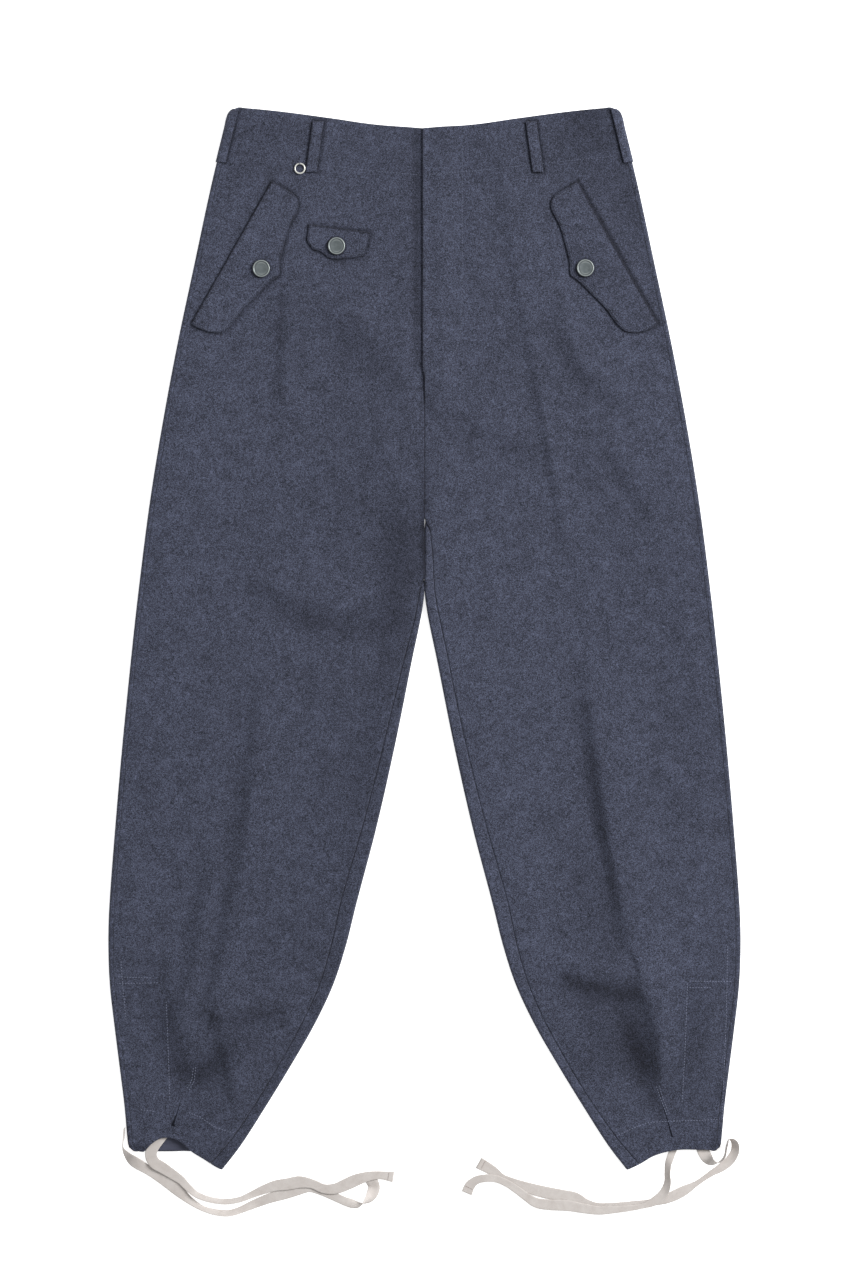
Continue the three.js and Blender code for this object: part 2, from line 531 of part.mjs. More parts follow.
function frontLoopGrid(side, panel) {
  const top = new THREE.Vector2(...FRONT_LOOP.top);
  const bottom = new THREE.Vector2(...FRONT_LOOP.bottom);
  const path = Array.from({ length: LOOP.rows }, (unused, step) => {
    const share = step / (LOOP.rows - 1);
    const point = top.clone().lerp(bottom, share);
    const x = SIGN[side] * point.x;
    const stand = LOOP.stand * smoothstep(0, LOOP.sewnShare, Math.min(share, 1 - share));
    const z = surfaceHeight(panel, x, point.y) + HALF + LAY_GAP + LOOP.thickness / 2 + stand;
    return new THREE.Vector3(x, point.y, z);
  });
  return stripGrid(path, new THREE.Vector3(LOOP.width, 0, 0));
}

// A loop over the side edge: flat on the front, then round the fold
function sideLoopGrid(side) {
  const reach = FOLD_RADIUS + HALF + LAY_GAP + LOOP.thickness / 2 + SIDE_LOOP.ease;
  const edge = FOLD_RADIUS + HALF;
  return Array.from({ length: SIDE_LOOP.rows }, (unused, step) => {
    const travel = step / (SIDE_LOOP.rows - 1);
    const row = rowAcross(side, THREE.MathUtils.lerp(SIDE_LOOP.topShare, SIDE_LOOP.bottomShare, travel));
    const section = [[row.width - SIDE_LOOP.onFront, FLOOR_MID + FOLD_RADIUS + reach + LEG_PUFF / 2]];
    for (let arc = 0; arc <= ARC_STEPS; arc += 1) {
      const angle = Math.PI / 2 - (Math.PI / 2) * (arc / ARC_STEPS);
      const height = FLOOR_MID + FOLD_RADIUS + reach * Math.sin(angle);
      section.push([row.width - edge + reach * Math.cos(angle), height]);
    }
    return section.map(([distance, z]) => {
      const point = placeOnRow(row, distance, z, HEM_RISE);
      point.x *= SIGN[side];
      return point;
    });
  });
}

function cuffFacingGrid() {
  const height = CLOTH + LAY_GAP + CUFF_FACING.thickness / 2;
  const hem = ROWS.right[ROWS.right.length - 1];
  const depths = [1.2, CUFF_FACING.depth / 2, CUFF_FACING.depth];
  return depths.map((depth) => Array.from({ length: CUFF_FACING.columns }, (unused, column) => {
    const travel = column / (CUFF_FACING.columns - 1);
    const share = THREE.MathUtils.lerp(CUFF_FACING.from, CUFF_FACING.to, travel);
    const point = placeOnRow(hem, share * hem.width, height, RIGHT_BACK_HEM_RISE);
    return new THREE.Vector3(-point.x, point.y + depth, height);
  }));
}

function buttonGeometry() {
  const { radius, height, dish, rim, shankRadius, shank } = BUTTON;
  const profile = [
    [0, 0], [shankRadius, 0], [shankRadius, shank], [radius - 1, shank], [radius, shank + 0.8],
    [radius - 0.5, shank + height - 0.4], [radius - rim / 2, shank + height],
    [radius - rim, shank + height - dish], [0, shank + height - dish],
  ];
  const points = profile.map(([x, y]) => new THREE.Vector2(x, y));
  return new THREE.LatheGeometry(points, BUTTON_SEGMENTS).rotateX(Math.PI / 2);
}

function circleAround(centre, first, second, radius, sides) {
  return Array.from({ length: sides }, (unused, side) => {
    const angle = (2 * Math.PI * side) / sides;
    return centre.clone().addScaledVector(first, radius * Math.cos(angle))
      .addScaledVector(second, radius * Math.sin(angle));
  });
}

// Thread arch over the wire at the hinge
function tackGeometry(hinge) {
  const radius = RING.wire + TACK.clearance + TACK.thread;
  const half = THREE.MathUtils.degToRad(TACK.sweep / 2);
  const rings = Array.from({ length: TACK.steps + 1 }, (unused, step) => {
    const angle = Math.PI / 2 + THREE.MathUtils.lerp(-half, half, step / TACK.steps);
    const out = new THREE.Vector3(0, Math.cos(angle), Math.sin(angle));
    const centre = hinge.clone().addScaledVector(out, radius);
    return circleAround(centre, new THREE.Vector3(1, 0, 0), out, TACK.thread, RING.sides);
  });
  return tubeFromRings(rings);
}

// Flat tape: an eight-sided section carried along its route, tilted as the route says
function tapeGeometry(route) {
  const curve = new THREE.CatmullRomCurve3(route.map(({ x, y, z }) => new THREE.Vector3(x, y, z)));
  const steps = Math.round((route.length - 1) / TAPE.sampleStep);
  const w = TAPE.width / 2;
  const t = TAPE.thickness / 2;
  const section = [[w, -t / 2], [w, t / 2], [0.9 * w, t], [-0.9 * w, t], [-w, t / 2], [-w, -t / 2],
    [-0.9 * w, -t], [0.9 * w, -t]];
  const rings = Array.from({ length: steps + 1 }, (unused, step) => {
    const share = step / steps;
    const place = share * (route.length - 1);
    const before = Math.min(Math.floor(place), route.length - 2);
    const tilt = THREE.MathUtils.degToRad(
      THREE.MathUtils.lerp(route[before].tilt, route[before + 1].tilt, place - before));
    const forward = curve.getTangent(share).setZ(0).normalize();
    const sideways = new THREE.Vector3(-forward.y, forward.x, 0);
    const across = sideways.clone().multiplyScalar(Math.cos(tilt)).setZ(Math.sin(tilt));
    const up = sideways.clone().multiplyScalar(-Math.sin(tilt)).setZ(Math.cos(tilt));
    const centre = curve.getPoint(share);
    return section.map(([a, b]) => centre.clone().addScaledVector(across, a).addScaledVector(up, b));
  });
  return tubeFromRings(rings);
}

const panels = { left: frontGrid('left'), right: frontGrid('right') };

['left', 'right'].forEach((side) => {
  addPiece(`${side}_front`, wallFromGrid(panels[side], CLOTH), 'wool');
  addPiece(`${side}_back`, wallFromGrid(backGrid(side), CLOTH), 'wool');
  const flap = flapGrid(HIP_FLAP, side === 'right', panels[side]);
  addPiece(`${side}_pocket_flap`, wallFromGrid(flap, HIP_FLAP.thickness), 'wool');
  addPiece(`${side}_front_loop`, wallFromGrid(frontLoopGrid(side, panels[side]), LOOP.thickness), 'wool');
  addPiece(`${side}_side_loop`, wallFromGrid(sideLoopGrid(side), LOOP.thickness), 'wool');
});

const watchFlap = flapGrid(WATCH_FLAP, false, panels.right);
addPiece('watch_pocket_flap', wallFromGrid(watchFlap, WATCH_FLAP.thickness), 'wool');
addPiece('right_cuff_facing', wallFromGrid(cuffFacingGrid(), CUFF_FACING.thickness), 'facing');

Object.entries(BUTTON_PLACES).forEach(([name, [x, y]]) => {
  const panel = x > 0 ? panels.left : panels.right;
  const under = surfaceHeight(panel, x, y) + HALF + LAY_GAP + HIP_FLAP.thickness;
  addPiece(name, buttonGeometry().translate(x, y, under + LAY_GAP), 'button');
});

const clothUnderRing = HALF + Math.max(
  surfaceHeight(panels.right, RING.x, RING.hingeY),
  surfaceHeight(panels.right, RING.x, RING.hingeY - 2 * RING.meanRadius));
const hinge = new THREE.Vector3(RING.x, RING.hingeY, clothUnderRing + LAY_GAP + RING.wire);
const ring = new THREE.TorusGeometry(RING.meanRadius, RING.wire, RING.sides, RING.segments);
addPiece('watch_ring', ring.translate(hinge.x, hinge.y - RING.meanRadius, hinge.z), 'ring');
addPiece('ring_tack', tackGeometry(hinge), 'thread');

Object.entries(ROUTES).forEach(([name, route]) => addPiece(name, tapeGeometry(route), 'tape'));

export default garment;
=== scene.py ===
"""Military trousers laid flat: fine wool, sewing, buttons, watch ring, ankle tapes, light and camera.

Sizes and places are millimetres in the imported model's frame, and turn into metres as a mesh is made.
The left leg lies on +X, the waist toward +Y, and the front faces +Z.
"""
import logging
import math
from dataclasses import dataclass
from enum import Enum

import bpy
import numpy as np
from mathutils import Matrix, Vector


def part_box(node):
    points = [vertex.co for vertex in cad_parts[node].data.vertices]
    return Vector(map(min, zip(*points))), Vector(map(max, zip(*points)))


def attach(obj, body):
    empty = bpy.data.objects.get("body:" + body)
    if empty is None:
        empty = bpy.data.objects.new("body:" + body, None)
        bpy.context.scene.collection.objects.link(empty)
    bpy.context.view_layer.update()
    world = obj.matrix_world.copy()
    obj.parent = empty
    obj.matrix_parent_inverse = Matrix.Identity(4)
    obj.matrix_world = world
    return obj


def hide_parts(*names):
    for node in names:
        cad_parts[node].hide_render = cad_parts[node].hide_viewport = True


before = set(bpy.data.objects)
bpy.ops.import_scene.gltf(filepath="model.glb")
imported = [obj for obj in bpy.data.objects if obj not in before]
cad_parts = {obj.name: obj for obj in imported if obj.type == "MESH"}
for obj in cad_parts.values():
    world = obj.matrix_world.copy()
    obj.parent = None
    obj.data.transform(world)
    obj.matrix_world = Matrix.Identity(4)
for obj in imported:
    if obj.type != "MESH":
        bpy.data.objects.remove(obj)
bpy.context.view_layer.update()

LOG = logging.getLogger("trousers")
MM = 0.001
GARMENT = "garment"
RING_BODY = "watch_ring"

# The cloth, the gaps between its layers, and how round its edges are, in millimetres
CLOTH = 2.0
HALF = CLOTH / 2
INSEAM_GAP = 0.3
OUTSEAM_GAP = 0.06
LAY_GAP = 0.4
FOLD_RADIUS = 2.2
FLOOR_MID = HALF
FRONT_MID = FLOOR_MID + 2 * FOLD_RADIUS
LOWEST_FRONT_MID = 3.3
EDGE_ROUND = 0.9
SEAM_ROUND = 0.45
THINNEST_EDGE = 0.12
FLY_FOOT = 290.0

# The random lattice behind soft_noise: its size, and how far its middle is moved into it
LATTICE = 64
LATTICE_MIDDLE = 31.0

Array = np.ndarray
Point = tuple[float, float]


class Side(Enum):
    """The wearer's side, with its sign along X."""

    LEFT = 1
    RIGHT = -1

    @property
    def word(self) -> str:
        """The side's name as the model's nodes spell it."""
        return self.name.lower()


def smoothstep(start: float, end: float, value: Array) -> Array:
    """Eases from 0 to 1 as a value goes from start to end.

    Args:
        start: Value where the result is 0.
        end: Value where the result is 1.
        value: Values to ease.

    Returns:
        The eased shares, one for each value.
    """
    share = np.clip((np.asarray(value, dtype=float) - start) / (end - start), 0.0, 1.0)
    return share * share * (3.0 - 2.0 * share)


def bell(distance: Array, reach: Array | float) -> Array:
    """Share left at a distance: 1 at none, and a little over a third at the reach."""
    return np.exp(-((distance / reach) ** 2))


def soft_noise(x: Array, y: Array, cell: float, seed: int) -> Array:
    """Smooth random relief between about -1 and 1, the same on each run.

    Args:
        x: Places across, in millimetres.
        y: Places along, in millimetres.
        cell: Size of one bump, in millimetres.
        seed: Number that picks the pattern.

    Returns:
        The relief at each place.
    """
    lattice = np.random.default_rng(seed).uniform(-1.0, 1.0, (LATTICE, LATTICE))
    u = np.asarray(x, dtype=float) / cell + LATTICE_MIDDLE
    v = np.asarray(y, dtype=float) / cell + LATTICE_MIDDLE
    column = np.floor(u).astype(int)
    row = np.floor(v).astype(int)
    across = smoothstep(0.0, 1.0, u - column)
    down = smoothstep(0.0, 1.0, v - row)

    def knot(rows: Array, columns: Array) -> Array:
        """Lattice values, repeating past the edges."""
        return lattice[rows % LATTICE, columns % LATTICE]

    low = knot(row, column) * (1 - across) + knot(row, column + 1) * across
    high = knot(row + 1, column) * (1 - across) + knot(row + 1, column + 1) * across
    return low * (1 - down) + high * down


@dataclass(frozen=True)
class Profile:
    """A smooth curve through a short table of (key, value) rows, with rising keys."""

    rows: tuple[Point, ...]

    def read(self, key: Array) -> Array:
        """Reads the curve.

        Args:
            key: Keys to read at; outside the table the end values hold.

        Returns:
            The value at each key.
        """
        keys, values = np.array(self.rows).T
        slopes = np.empty_like(values)
        slopes[1:-1] = (values[2:] - values[:-2]) / (keys[2:] - keys[:-2])
        slopes[0] = (values[1] - values[0]) / (keys[1] - keys[0])
        slopes[-1] = (values[-1] - values[-2]) / (keys[-1] - keys[-2])
        key = np.clip(np.asarray(key, dtype=float), keys[0], keys[-1])
        low = np.clip(np.searchsorted(keys, key, side="right") - 1, 0, len(keys) - 2)
        span = keys[low + 1] - keys[low]
        share = (key - keys[low]) / span
        square, cube = share**2, share**3
        return (
            values[low] * (2 * cube - 3 * square + 1)
            + values[low + 1] * (3 * square - 2 * cube)
            + slopes[low] * span * (cube - 2 * square + share)
            + slopes[low + 1] * span * (cube - square)
        )


@dataclass(frozen=True)
class Fold:
    """A soft ridge, or a trough where height is below zero, along a curve through three points.

    width is the half-width on the left of the way it runs, and lee the one on its right.
    ends are the shares of the height that are left at its start and its end.
    """

    start: Point
    via: Point
    end: Point
    height: float
    width: float
    lee: float = 0.0
    ends: Point = (0.25, 0.25)
    line_points: int = 21

    def relief(self, x: Array, y: Array) -> Array:
        """Height that the fold adds.

        Args:
            x: Places across.
            y: Places along.

        Returns:
            Added height at each place.
        """
        steps = np.linspace(0.0, 1.0, self.line_points)[:, None]
        start, via, end = (np.array(point) for point in (self.start, self.via, self.end))
        line = (1 - steps) ** 2 * start + 2 * steps * (1 - steps) * via + steps**2 * end
        best = np.full(np.shape(x), np.inf)
        share = np.zeros(np.shape(x))
        side = np.zeros(np.shape(x))
        for index in range(len(line) - 1):
            a, b = line[index], line[index + 1]
            run = b - a
            t = np.clip(((x - a[0]) * run[0] + (y - a[1]) * run[1]) / (run @ run), 0.0, 1.0)
            dx, dy = x - a[0] - t * run[0], y - a[1] - t * run[1]
            distance = np.hypot(dx, dy)
            nearer = distance < best
            best = np.where(nearer, distance, best)
            share = np.where(nearer, (index + t) / (len(line) - 1), share)
            side = np.where(nearer, run[0] * dy - run[1] * dx, side)
        width = np.where(side > 0, self.width, self.lee or self.width)
        left_over = self.ends[0] * (1 - share) + self.ends[1] * share
        along = left_over + (1 - left_over) * np.sin(np.pi * share)
        return self.height * along * bell(best, width)


@dataclass(frozen=True)
class Rows:
    """Slanting rows across one leg, in its own half, from the inner edge to the outer edge."""

    share: Array
    inner_x: Array
    inner_y: Array
    outer_x: Array
    outer_y: Array
    width: Array
    inseam: Array
    risen: Array


@dataclass(frozen=True)
class LegShape:
    """Outline of a leg as it lies, shared by its front and its back.

    Below the crotch the back comes up beside the front over the two heights of split,
    and the inseam then runs on at its inset from the inner edge.
    """

    inset: Profile
    split: Point
    narrowest_inset: float = 5.0
    waist_inner_y: float = 535.5
    waist_outer_y: float = 557.5
    tip_y: float = -558.0
    hem_outer_y: float = -538.0
    centre_gap: float = -0.1
    outseam_inset: float = 5.5
    rise_fade: float = 75.0
    slope_reach: float = 10.0
    locate_rounds: int = 8
    outer_edge: Profile = Profile((
        (-538, 303.5), (-536.5, 308), (-533, 310.7), (-526, 312), (-490, 315.3), (-448, 320.5),
        (-406, 325.8), (-364, 330.5), (-322, 332.1), (-280, 331), (-196, 324.7), (-112, 317.4),
        (-28, 309), (42, 301.4), (140, 289), (224, 275.5), (308, 259.8), (392, 242), (476, 224),
        (539, 208.8), (546, 207.3), (552.5, 204.5), (556, 200), (557.5, 194),
    ))
    inner_edge: Profile = Profile((
        (-558, 212.6), (-532, 192.7), (-490, 165.9), (-448, 140.2), (-406, 116), (-364, 96.1),
        (-322, 82.4), (-280, 71.9), (-196, 49.9), (-112, 31), (-28, 14.2), (42, 0.8), (90, 0),
        (110, 0), (557.5, 0),
    ))
    waist_rise: Profile = Profile(((0, 0), (0.27, -2), (0.51, -0.7), (0.76, 0.3), (1, 0)))

    @property
    def length(self) -> float:
        """Length of the inner side, from waist to hem."""
        return self.waist_inner_y - self.tip_y

    def rows(self, share: Array) -> Rows:
        """Rows at shares of the way from the waist to the hem.

        Args:
            share: Shares from 0 at the waist to 1 at the hem.

        Returns:
            The rows' ends, widths and the place of the inseam.
        """
        share = np.asarray(share, dtype=float)
        inner_y = self.waist_inner_y + share * (self.tip_y - self.waist_inner_y)
        outer_y = self.waist_outer_y + share * (self.hem_outer_y - self.waist_outer_y)
        inner_x = self.inner_edge.read(inner_y) + self.centre_gap
        outer_x = self.outer_edge.read(outer_y)
        above = np.minimum(inner_y + self.slope_reach, self.waist_inner_y)
        below = np.maximum(inner_y - self.slope_reach, self.tip_y)
        run = self.inner_edge.read(below) - self.inner_edge.read(above)
        slant = np.cos(np.arctan(run / (above - below)))
        width = np.hypot(outer_x - inner_x, outer_y - inner_y)
        risen = smoothstep(*self.split, inner_y)
        inseam = risen * np.maximum(self.inset.read(inner_y), self.narrowest_inset) / slant
        return Rows(share, inner_x, inner_y, outer_x, outer_y, width, inseam, risen)

    def place(self, rows: Rows, distance: Array, hem: Profile) -> tuple[Array, Array]:
        """Places of points on rows, with the curve of the waist and the hem.

        Args:
            rows: The rows.
            distance: Distance of each point from its row's inner end.
            hem: Rise of the hem above a straight line, across the leg.

        Returns:
            The x and y of each point.
        """
        across = distance / rows.width
        x = rows.inner_x + across * (rows.outer_x - rows.inner_x)
        y = rows.inner_y + across * (rows.outer_y - rows.inner_y)
        in_leg = np.clip(across, 0.0, 1.0)
        to_hem = (1 - rows.share) * self.length
        to_waist = rows.share * self.length
        y = y + hem.read(in_leg) * (1 - smoothstep(0, self.rise_fade, to_hem))
        y = y + self.waist_rise.read(in_leg) * (1 - smoothstep(0, self.rise_fade, to_waist))
        return x, y

    def locate(self, x: Array, y: Array, hem: Profile) -> tuple[Rows, Array]:
        """Finds the row and the distance along it of places on the leg.

        Args:
            x: Places across, in the leg's own half.
            y: Places along.
            hem: Rise of the hem.

        Returns:
            The rows and each place's distance from its row's inner end.
        """
        share = (self.waist_inner_y - np.asarray(y, dtype=float)) / self.length
        for _ in range(self.locate_rounds):
            rows = self.rows(np.clip(share, 0.0, 1.0))
            across = (x - rows.inner_x) / (rows.outer_x - rows.inner_x)
            _, on_row = self.place(rows, across * rows.width, hem)
            share = np.clip(share + (on_row - y) / self.length, 0.0, 1.0)
        rows = self.rows(share)
        across = (x - rows.inner_x) / (rows.outer_x - rows.inner_x)
        return rows, across * rows.width


LEGS = {
    Side.LEFT: LegShape(Profile((
        (-558, 10.5), (-516, 10), (-470, 9), (-414, 10.2), (-333, 13.6), (-275, 15.5),
        (-170, 13.5), (-65, 11.6), (20, 11.5), (82, 9), (122, 5),
    )), (128.0, 112.0)),
    Side.RIGHT: LegShape(Profile((
        (-558, 10), (-516, 9.9), (-470, 10.3), (-414, 11.6), (-333, 14.5), (-275, 16.2),
        (-170, 13.5), (-65, 10.3), (0, 7.2), (51, 5),
    )), (66.0, 50.0)),
}
LEG = LEGS[Side.LEFT]


class MeshMaker:
    """Makes closed walls and tubes as Blender meshes, from points in millimetres."""

    @staticmethod
    def piece(name: str, points: Array, faces: list, smooth: bool = True) -> bpy.types.Object:
        """Makes a mesh object.

        Args:
            name: Name of the piece.
            points: Its vertices, in millimetres.
            faces: Its faces, as vertex numbers.
            smooth: Whether its faces are shaded smooth.

        Returns:
            The object, linked to the scene.
        """
        mesh = bpy.data.meshes.new(name)
        mesh.from_pydata((np.asarray(points, dtype=float) * MM).tolist(), [], faces)
        mesh.polygons.foreach_set("use_smooth", [smooth] * len(mesh.polygons))
        mesh.update()
        piece = bpy.data.objects.new(name, mesh)
        bpy.context.scene.collection.objects.link(piece)
        return piece

    @staticmethod
    def rounding(distance: Array, reach: float = EDGE_ROUND) -> Array:
        """Share of the full wall that is left near an edge, so that the edge is round."""
        inside = np.clip(1 - np.asarray(distance) / reach, 0.0, 1.0)
        return np.maximum(np.sqrt(1 - inside**2), THINNEST_EDGE)

    @classmethod
    def wall(cls, name: str, middle: Array, thickness: float, share: Array) -> bpy.types.Object:
        """Makes a closed wall about a grid of middle points.

        Args:
            name: Name of the piece.
            middle: Grid of points, rows by columns by 3.
            thickness: Thickness of the wall.
            share: Share of the thickness at each grid point.

        Returns:
            The wall.
        """
        down = np.gradient(middle, axis=0)
        across = np.gradient(middle, axis=1)
        normal = np.cross(down, across)
        normal /= np.linalg.norm(normal, axis=2, keepdims=True)
        offset = normal * (thickness / 2 * share)[..., None]
        rows, columns = middle.shape[:2]
        points = np.concatenate([(middle + offset).reshape(-1, 3), (middle - offset).reshape(-1, 3)])
        number = np.arange(rows * columns).reshape(rows, columns)
        a, b = number[:-1, :-1].ravel(), number[1:, :-1].ravel()
        c, d = number[1:, 1:].ravel(), number[:-1, 1:].ravel()
        count = rows * columns
        faces = np.concatenate([np.stack([a, b, c, d], 1), np.stack([d, c, b, a], 1) + count])
        rim = np.concatenate([number[:, 0][::-1], number[0, 1:], number[1:, -1], number[-1, 1:-1][::-1]])
        after = np.roll(rim, -1)
        edges = np.stack([rim, after, after + count, rim + count], 1)
        return cls.piece(name, points, np.concatenate([faces, edges]).tolist())

    @classmethod
    def tube(cls, name: str, rings: Array) -> bpy.types.Object:
        """Makes a closed tube through rings of points.

        Args:
            name: Name of the piece.
            rings: Rings by sides by 3.

        Returns:
            The tube.
        """
        points, faces = cls.tube_parts(rings, 0)
        return cls.piece(name, points, faces)

    @staticmethod
    def tube_parts(rings: Array, first: int) -> tuple[Array, list]:
        """Vertices and faces of a closed tube, numbered from a first vertex.

        Args:
            rings: Rings by sides by 3.
            first: Number of its first vertex.

        Returns:
            Its points and its faces.
        """
        count, sides = rings.shape[:2]
        number = np.arange(count * sides).reshape(count, sides) + first
        turned = np.roll(number, -1, axis=1)
        quads = np.stack([number[:-1], turned[:-1], turned[1:], number[1:]], 2).reshape(-1, 4)
        faces = quads.tolist()
        faces.append(number[0][::-1].tolist())
        faces.append(number[-1].tolist())
        return rings.reshape(-1, 3), faces

    @classmethod
    def lathe(cls, name: str, profile: list[Point], centre: tuple, segments: int) -> bpy.types.Object:
        """Turns a profile of (radius, height) rows about an upright axis.

        Args:
            name: Name of the piece.
            profile: Rows from the axis at the bottom to the axis at the top.
            centre: Foot of the axis.
            segments: Number of steps round.

        Returns:
            The turned piece.
        """
        turn = np.linspace(0, 2 * np.pi, segments, endpoint=False)
        inner = profile[1:-1]
        rings = np.array([
            [(r * math.cos(t) + centre[0], r * math.sin(t) + centre[1], h + centre[2]) for t in turn]
            for r, h in inner
        ])
        points, faces = cls.tube_parts(rings, 0)
        faces = faces[:-2]
        low, high = len(points), len(points) + 1
        ends = [(centre[0], centre[1], centre[2] + profile[k][1]) for k in (0, -1)]
        last = (len(inner) - 1) * segments
        for step in range(segments):
            after = (step + 1) % segments
            faces.append([low, after, step])
            faces.append([high, last + step, last + after])
        return cls.piece(name, np.concatenate([points, np.array(ends)]), faces)


class Graph:
    """A material's node graph, built link by link."""

    def __init__(self, name: str) -> None:
        """Starts a material with one principled shader and its output.

        Args:
            name: The material's name.
        """
        self.material = bpy.data.materials.new(name)
        self.material.use_nodes = True
        self.tree = self.material.node_tree
        self.tree.nodes.clear()
        self.shader = self.add("ShaderNodeBsdfPrincipled")
        output = self.add("ShaderNodeOutputMaterial")
        self.link(self.shader.outputs["BSDF"], output.inputs["Surface"])
        self.place = self.add("ShaderNodeTexCoord").outputs["Object"]

    def add(self, kind: str, **settings: object) -> bpy.types.Node:
        """Adds a node and sets its own settings.

        Args:
            kind: The node's type.
            settings: Its settings, by name.

        Returns:
            The node.
        """
        node = self.tree.nodes.new(kind)
        for key, value in settings.items():
            setattr(node, key, value)
        return node

    def link(self, source: bpy.types.NodeSocket, target: bpy.types.NodeSocket) -> None:
        """Links two sockets."""
        self.tree.links.new(source, target)

    def noise(self, scale: float, detail: float = 3.0, roughness: float = 0.6,
              distortion: float = 0.0) -> bpy.types.NodeSocket:
        """Noise over the piece's own coordinates.

        Args:
            scale: Bumps to the metre.
            detail: Finer layers.
            roughness: Weight of the finer layers.
            distortion: How much the pattern is pulled about.

        Returns:
            The noise's value socket.
        """
        node = self.add("ShaderNodeTexNoise")
        self.link(self.place, node.inputs["Vector"])
        node.inputs["Scale"].default_value = scale
        node.inputs["Detail"].default_value = detail
        node.inputs["Roughness"].default_value = roughness
        node.inputs["Distortion"].default_value = distortion
        return node.outputs["Fac"]

    def blend(self, first: bpy.types.NodeSocket, second: bpy.types.NodeSocket,
              share: float) -> bpy.types.NodeSocket:
        """Mixes two values.

        Args:
            first: Value at share 0.
            second: Value at share 1.
            share: Weight of the second.

        Returns:
            The mixed value socket.
        """
        node = self.add("ShaderNodeMix", data_type="FLOAT")
        node.inputs["Factor"].default_value = share
        self.link(first, node.inputs["A"])
        self.link(second, node.inputs["B"])
        return node.outputs["Result"]

    def ramp(self, value: bpy.types.NodeSocket, stops: list) -> bpy.types.NodeSocket:
        """Colours a value.

        Args:
            value: The value.
            stops: Rows of (position, colour), the colour as shown on screen from 0 to 255.

        Returns:
            The colour socket.
        """
        node = self.add("ShaderNodeValToRGB")
        while len(node.color_ramp.elements) < len(stops):
            node.color_ramp.elements.new(0.5)
        for element, (position, colour) in zip(node.color_ramp.elements, stops):
            element.position = position
            element.color = (*linear(colour), 1.0)
        self.link(value, node.inputs["Fac"])
        return node.outputs["Color"]

    def stored(self, name: str) -> bpy.types.NodeSocket:
        """A value that is stored on the mesh under a name."""
        return self.add("ShaderNodeAttribute", attribute_name=name).outputs["Fac"]

    def band(self, value: bpy.types.NodeSocket, middle: float, reach: float) -> bpy.types.NodeSocket:
        """Picks a narrow band of a value, which turns noise into fine curled lines.

        Args:
            value: The value.
            middle: Middle of the band.
            reach: Distance from the middle where it has faded out.

        Returns:
            A socket that is 1 in the band and 0 away from it.
        """
        return self.ramp(value, [(middle - reach, (0, 0, 0)), (middle, (255, 255, 255)),
                                 (middle + reach, (0, 0, 0))])

    def tint(self, colour: bpy.types.NodeSocket, other: tuple, share: bpy.types.NodeSocket,
             strength: float) -> bpy.types.NodeSocket:
        """Mixes another colour into a colour.

        Args:
            colour: The colour.
            other: The other colour, as shown on screen.
            share: Where the other colour lies, from 0 to 1.
            strength: Its weight there.

        Returns:
            The mixed colour socket.
        """
        weight = self.add("ShaderNodeMath", operation="MULTIPLY")
        weight.inputs[1].default_value = strength
        self.link(share, weight.inputs[0])
        node = self.add("ShaderNodeMix", data_type="RGBA")
        self.link(weight.outputs["Value"], node.inputs["Factor"])
        self.link(colour, node.inputs["A"])
        node.inputs["B"].default_value = (*linear(other), 1.0)
        return node.outputs["Result"]

    def darken(self, colour: bpy.types.NodeSocket, keep: tuple[float, float, float],
               share: bpy.types.NodeSocket) -> bpy.types.NodeSocket:
        """Darkens a colour but keeps its pattern.

        Args:
            colour: The colour.
            keep: Share of the light in red, green and blue that is left at full shade.
            share: Where the shade lies, from 0 to 1.

        Returns:
            The darkened colour socket.
        """
        node = self.add("ShaderNodeMix", data_type="RGBA", blend_type="MULTIPLY")
        self.link(share, node.inputs["Factor"])
        self.link(colour, node.inputs["A"])
        node.inputs["B"].default_value = (*keep, 1.0)
        return node.outputs["Result"]

    def bump(self, value: bpy.types.NodeSocket, height: float, strength: float) -> None:
        """Raises the surface by a value.

        Args:
            value: The height's value.
            height: Its full height in metres.
            strength: How much of it shows.
        """
        node = self.add("ShaderNodeBump")
        node.inputs["Strength"].default_value = strength
        node.inputs["Distance"].default_value = height
        self.link(value, node.inputs["Height"])
        self.link(node.outputs["Normal"], self.shader.inputs["Normal"])

    def finish(self, **constants: object) -> bpy.types.Material:
        """Sets the shader's plain sockets and gives the material.

        Args:
            constants: Values of the sockets, by name, with a line for each space.

        Returns:
            The material.
        """
        for key, value in constants.items():
            self.shader.inputs[key.replace("_", " ")].default_value = value
        return self.material


def linear(colour: tuple[int, int, int]) -> tuple[float, float, float]:
    """A screen colour, from 0 to 255, as linear light."""
    return tuple(((c / 255 + 0.055) / 1.055) ** 2.4 if c > 10 else c / 255 / 12.92 for c in colour)


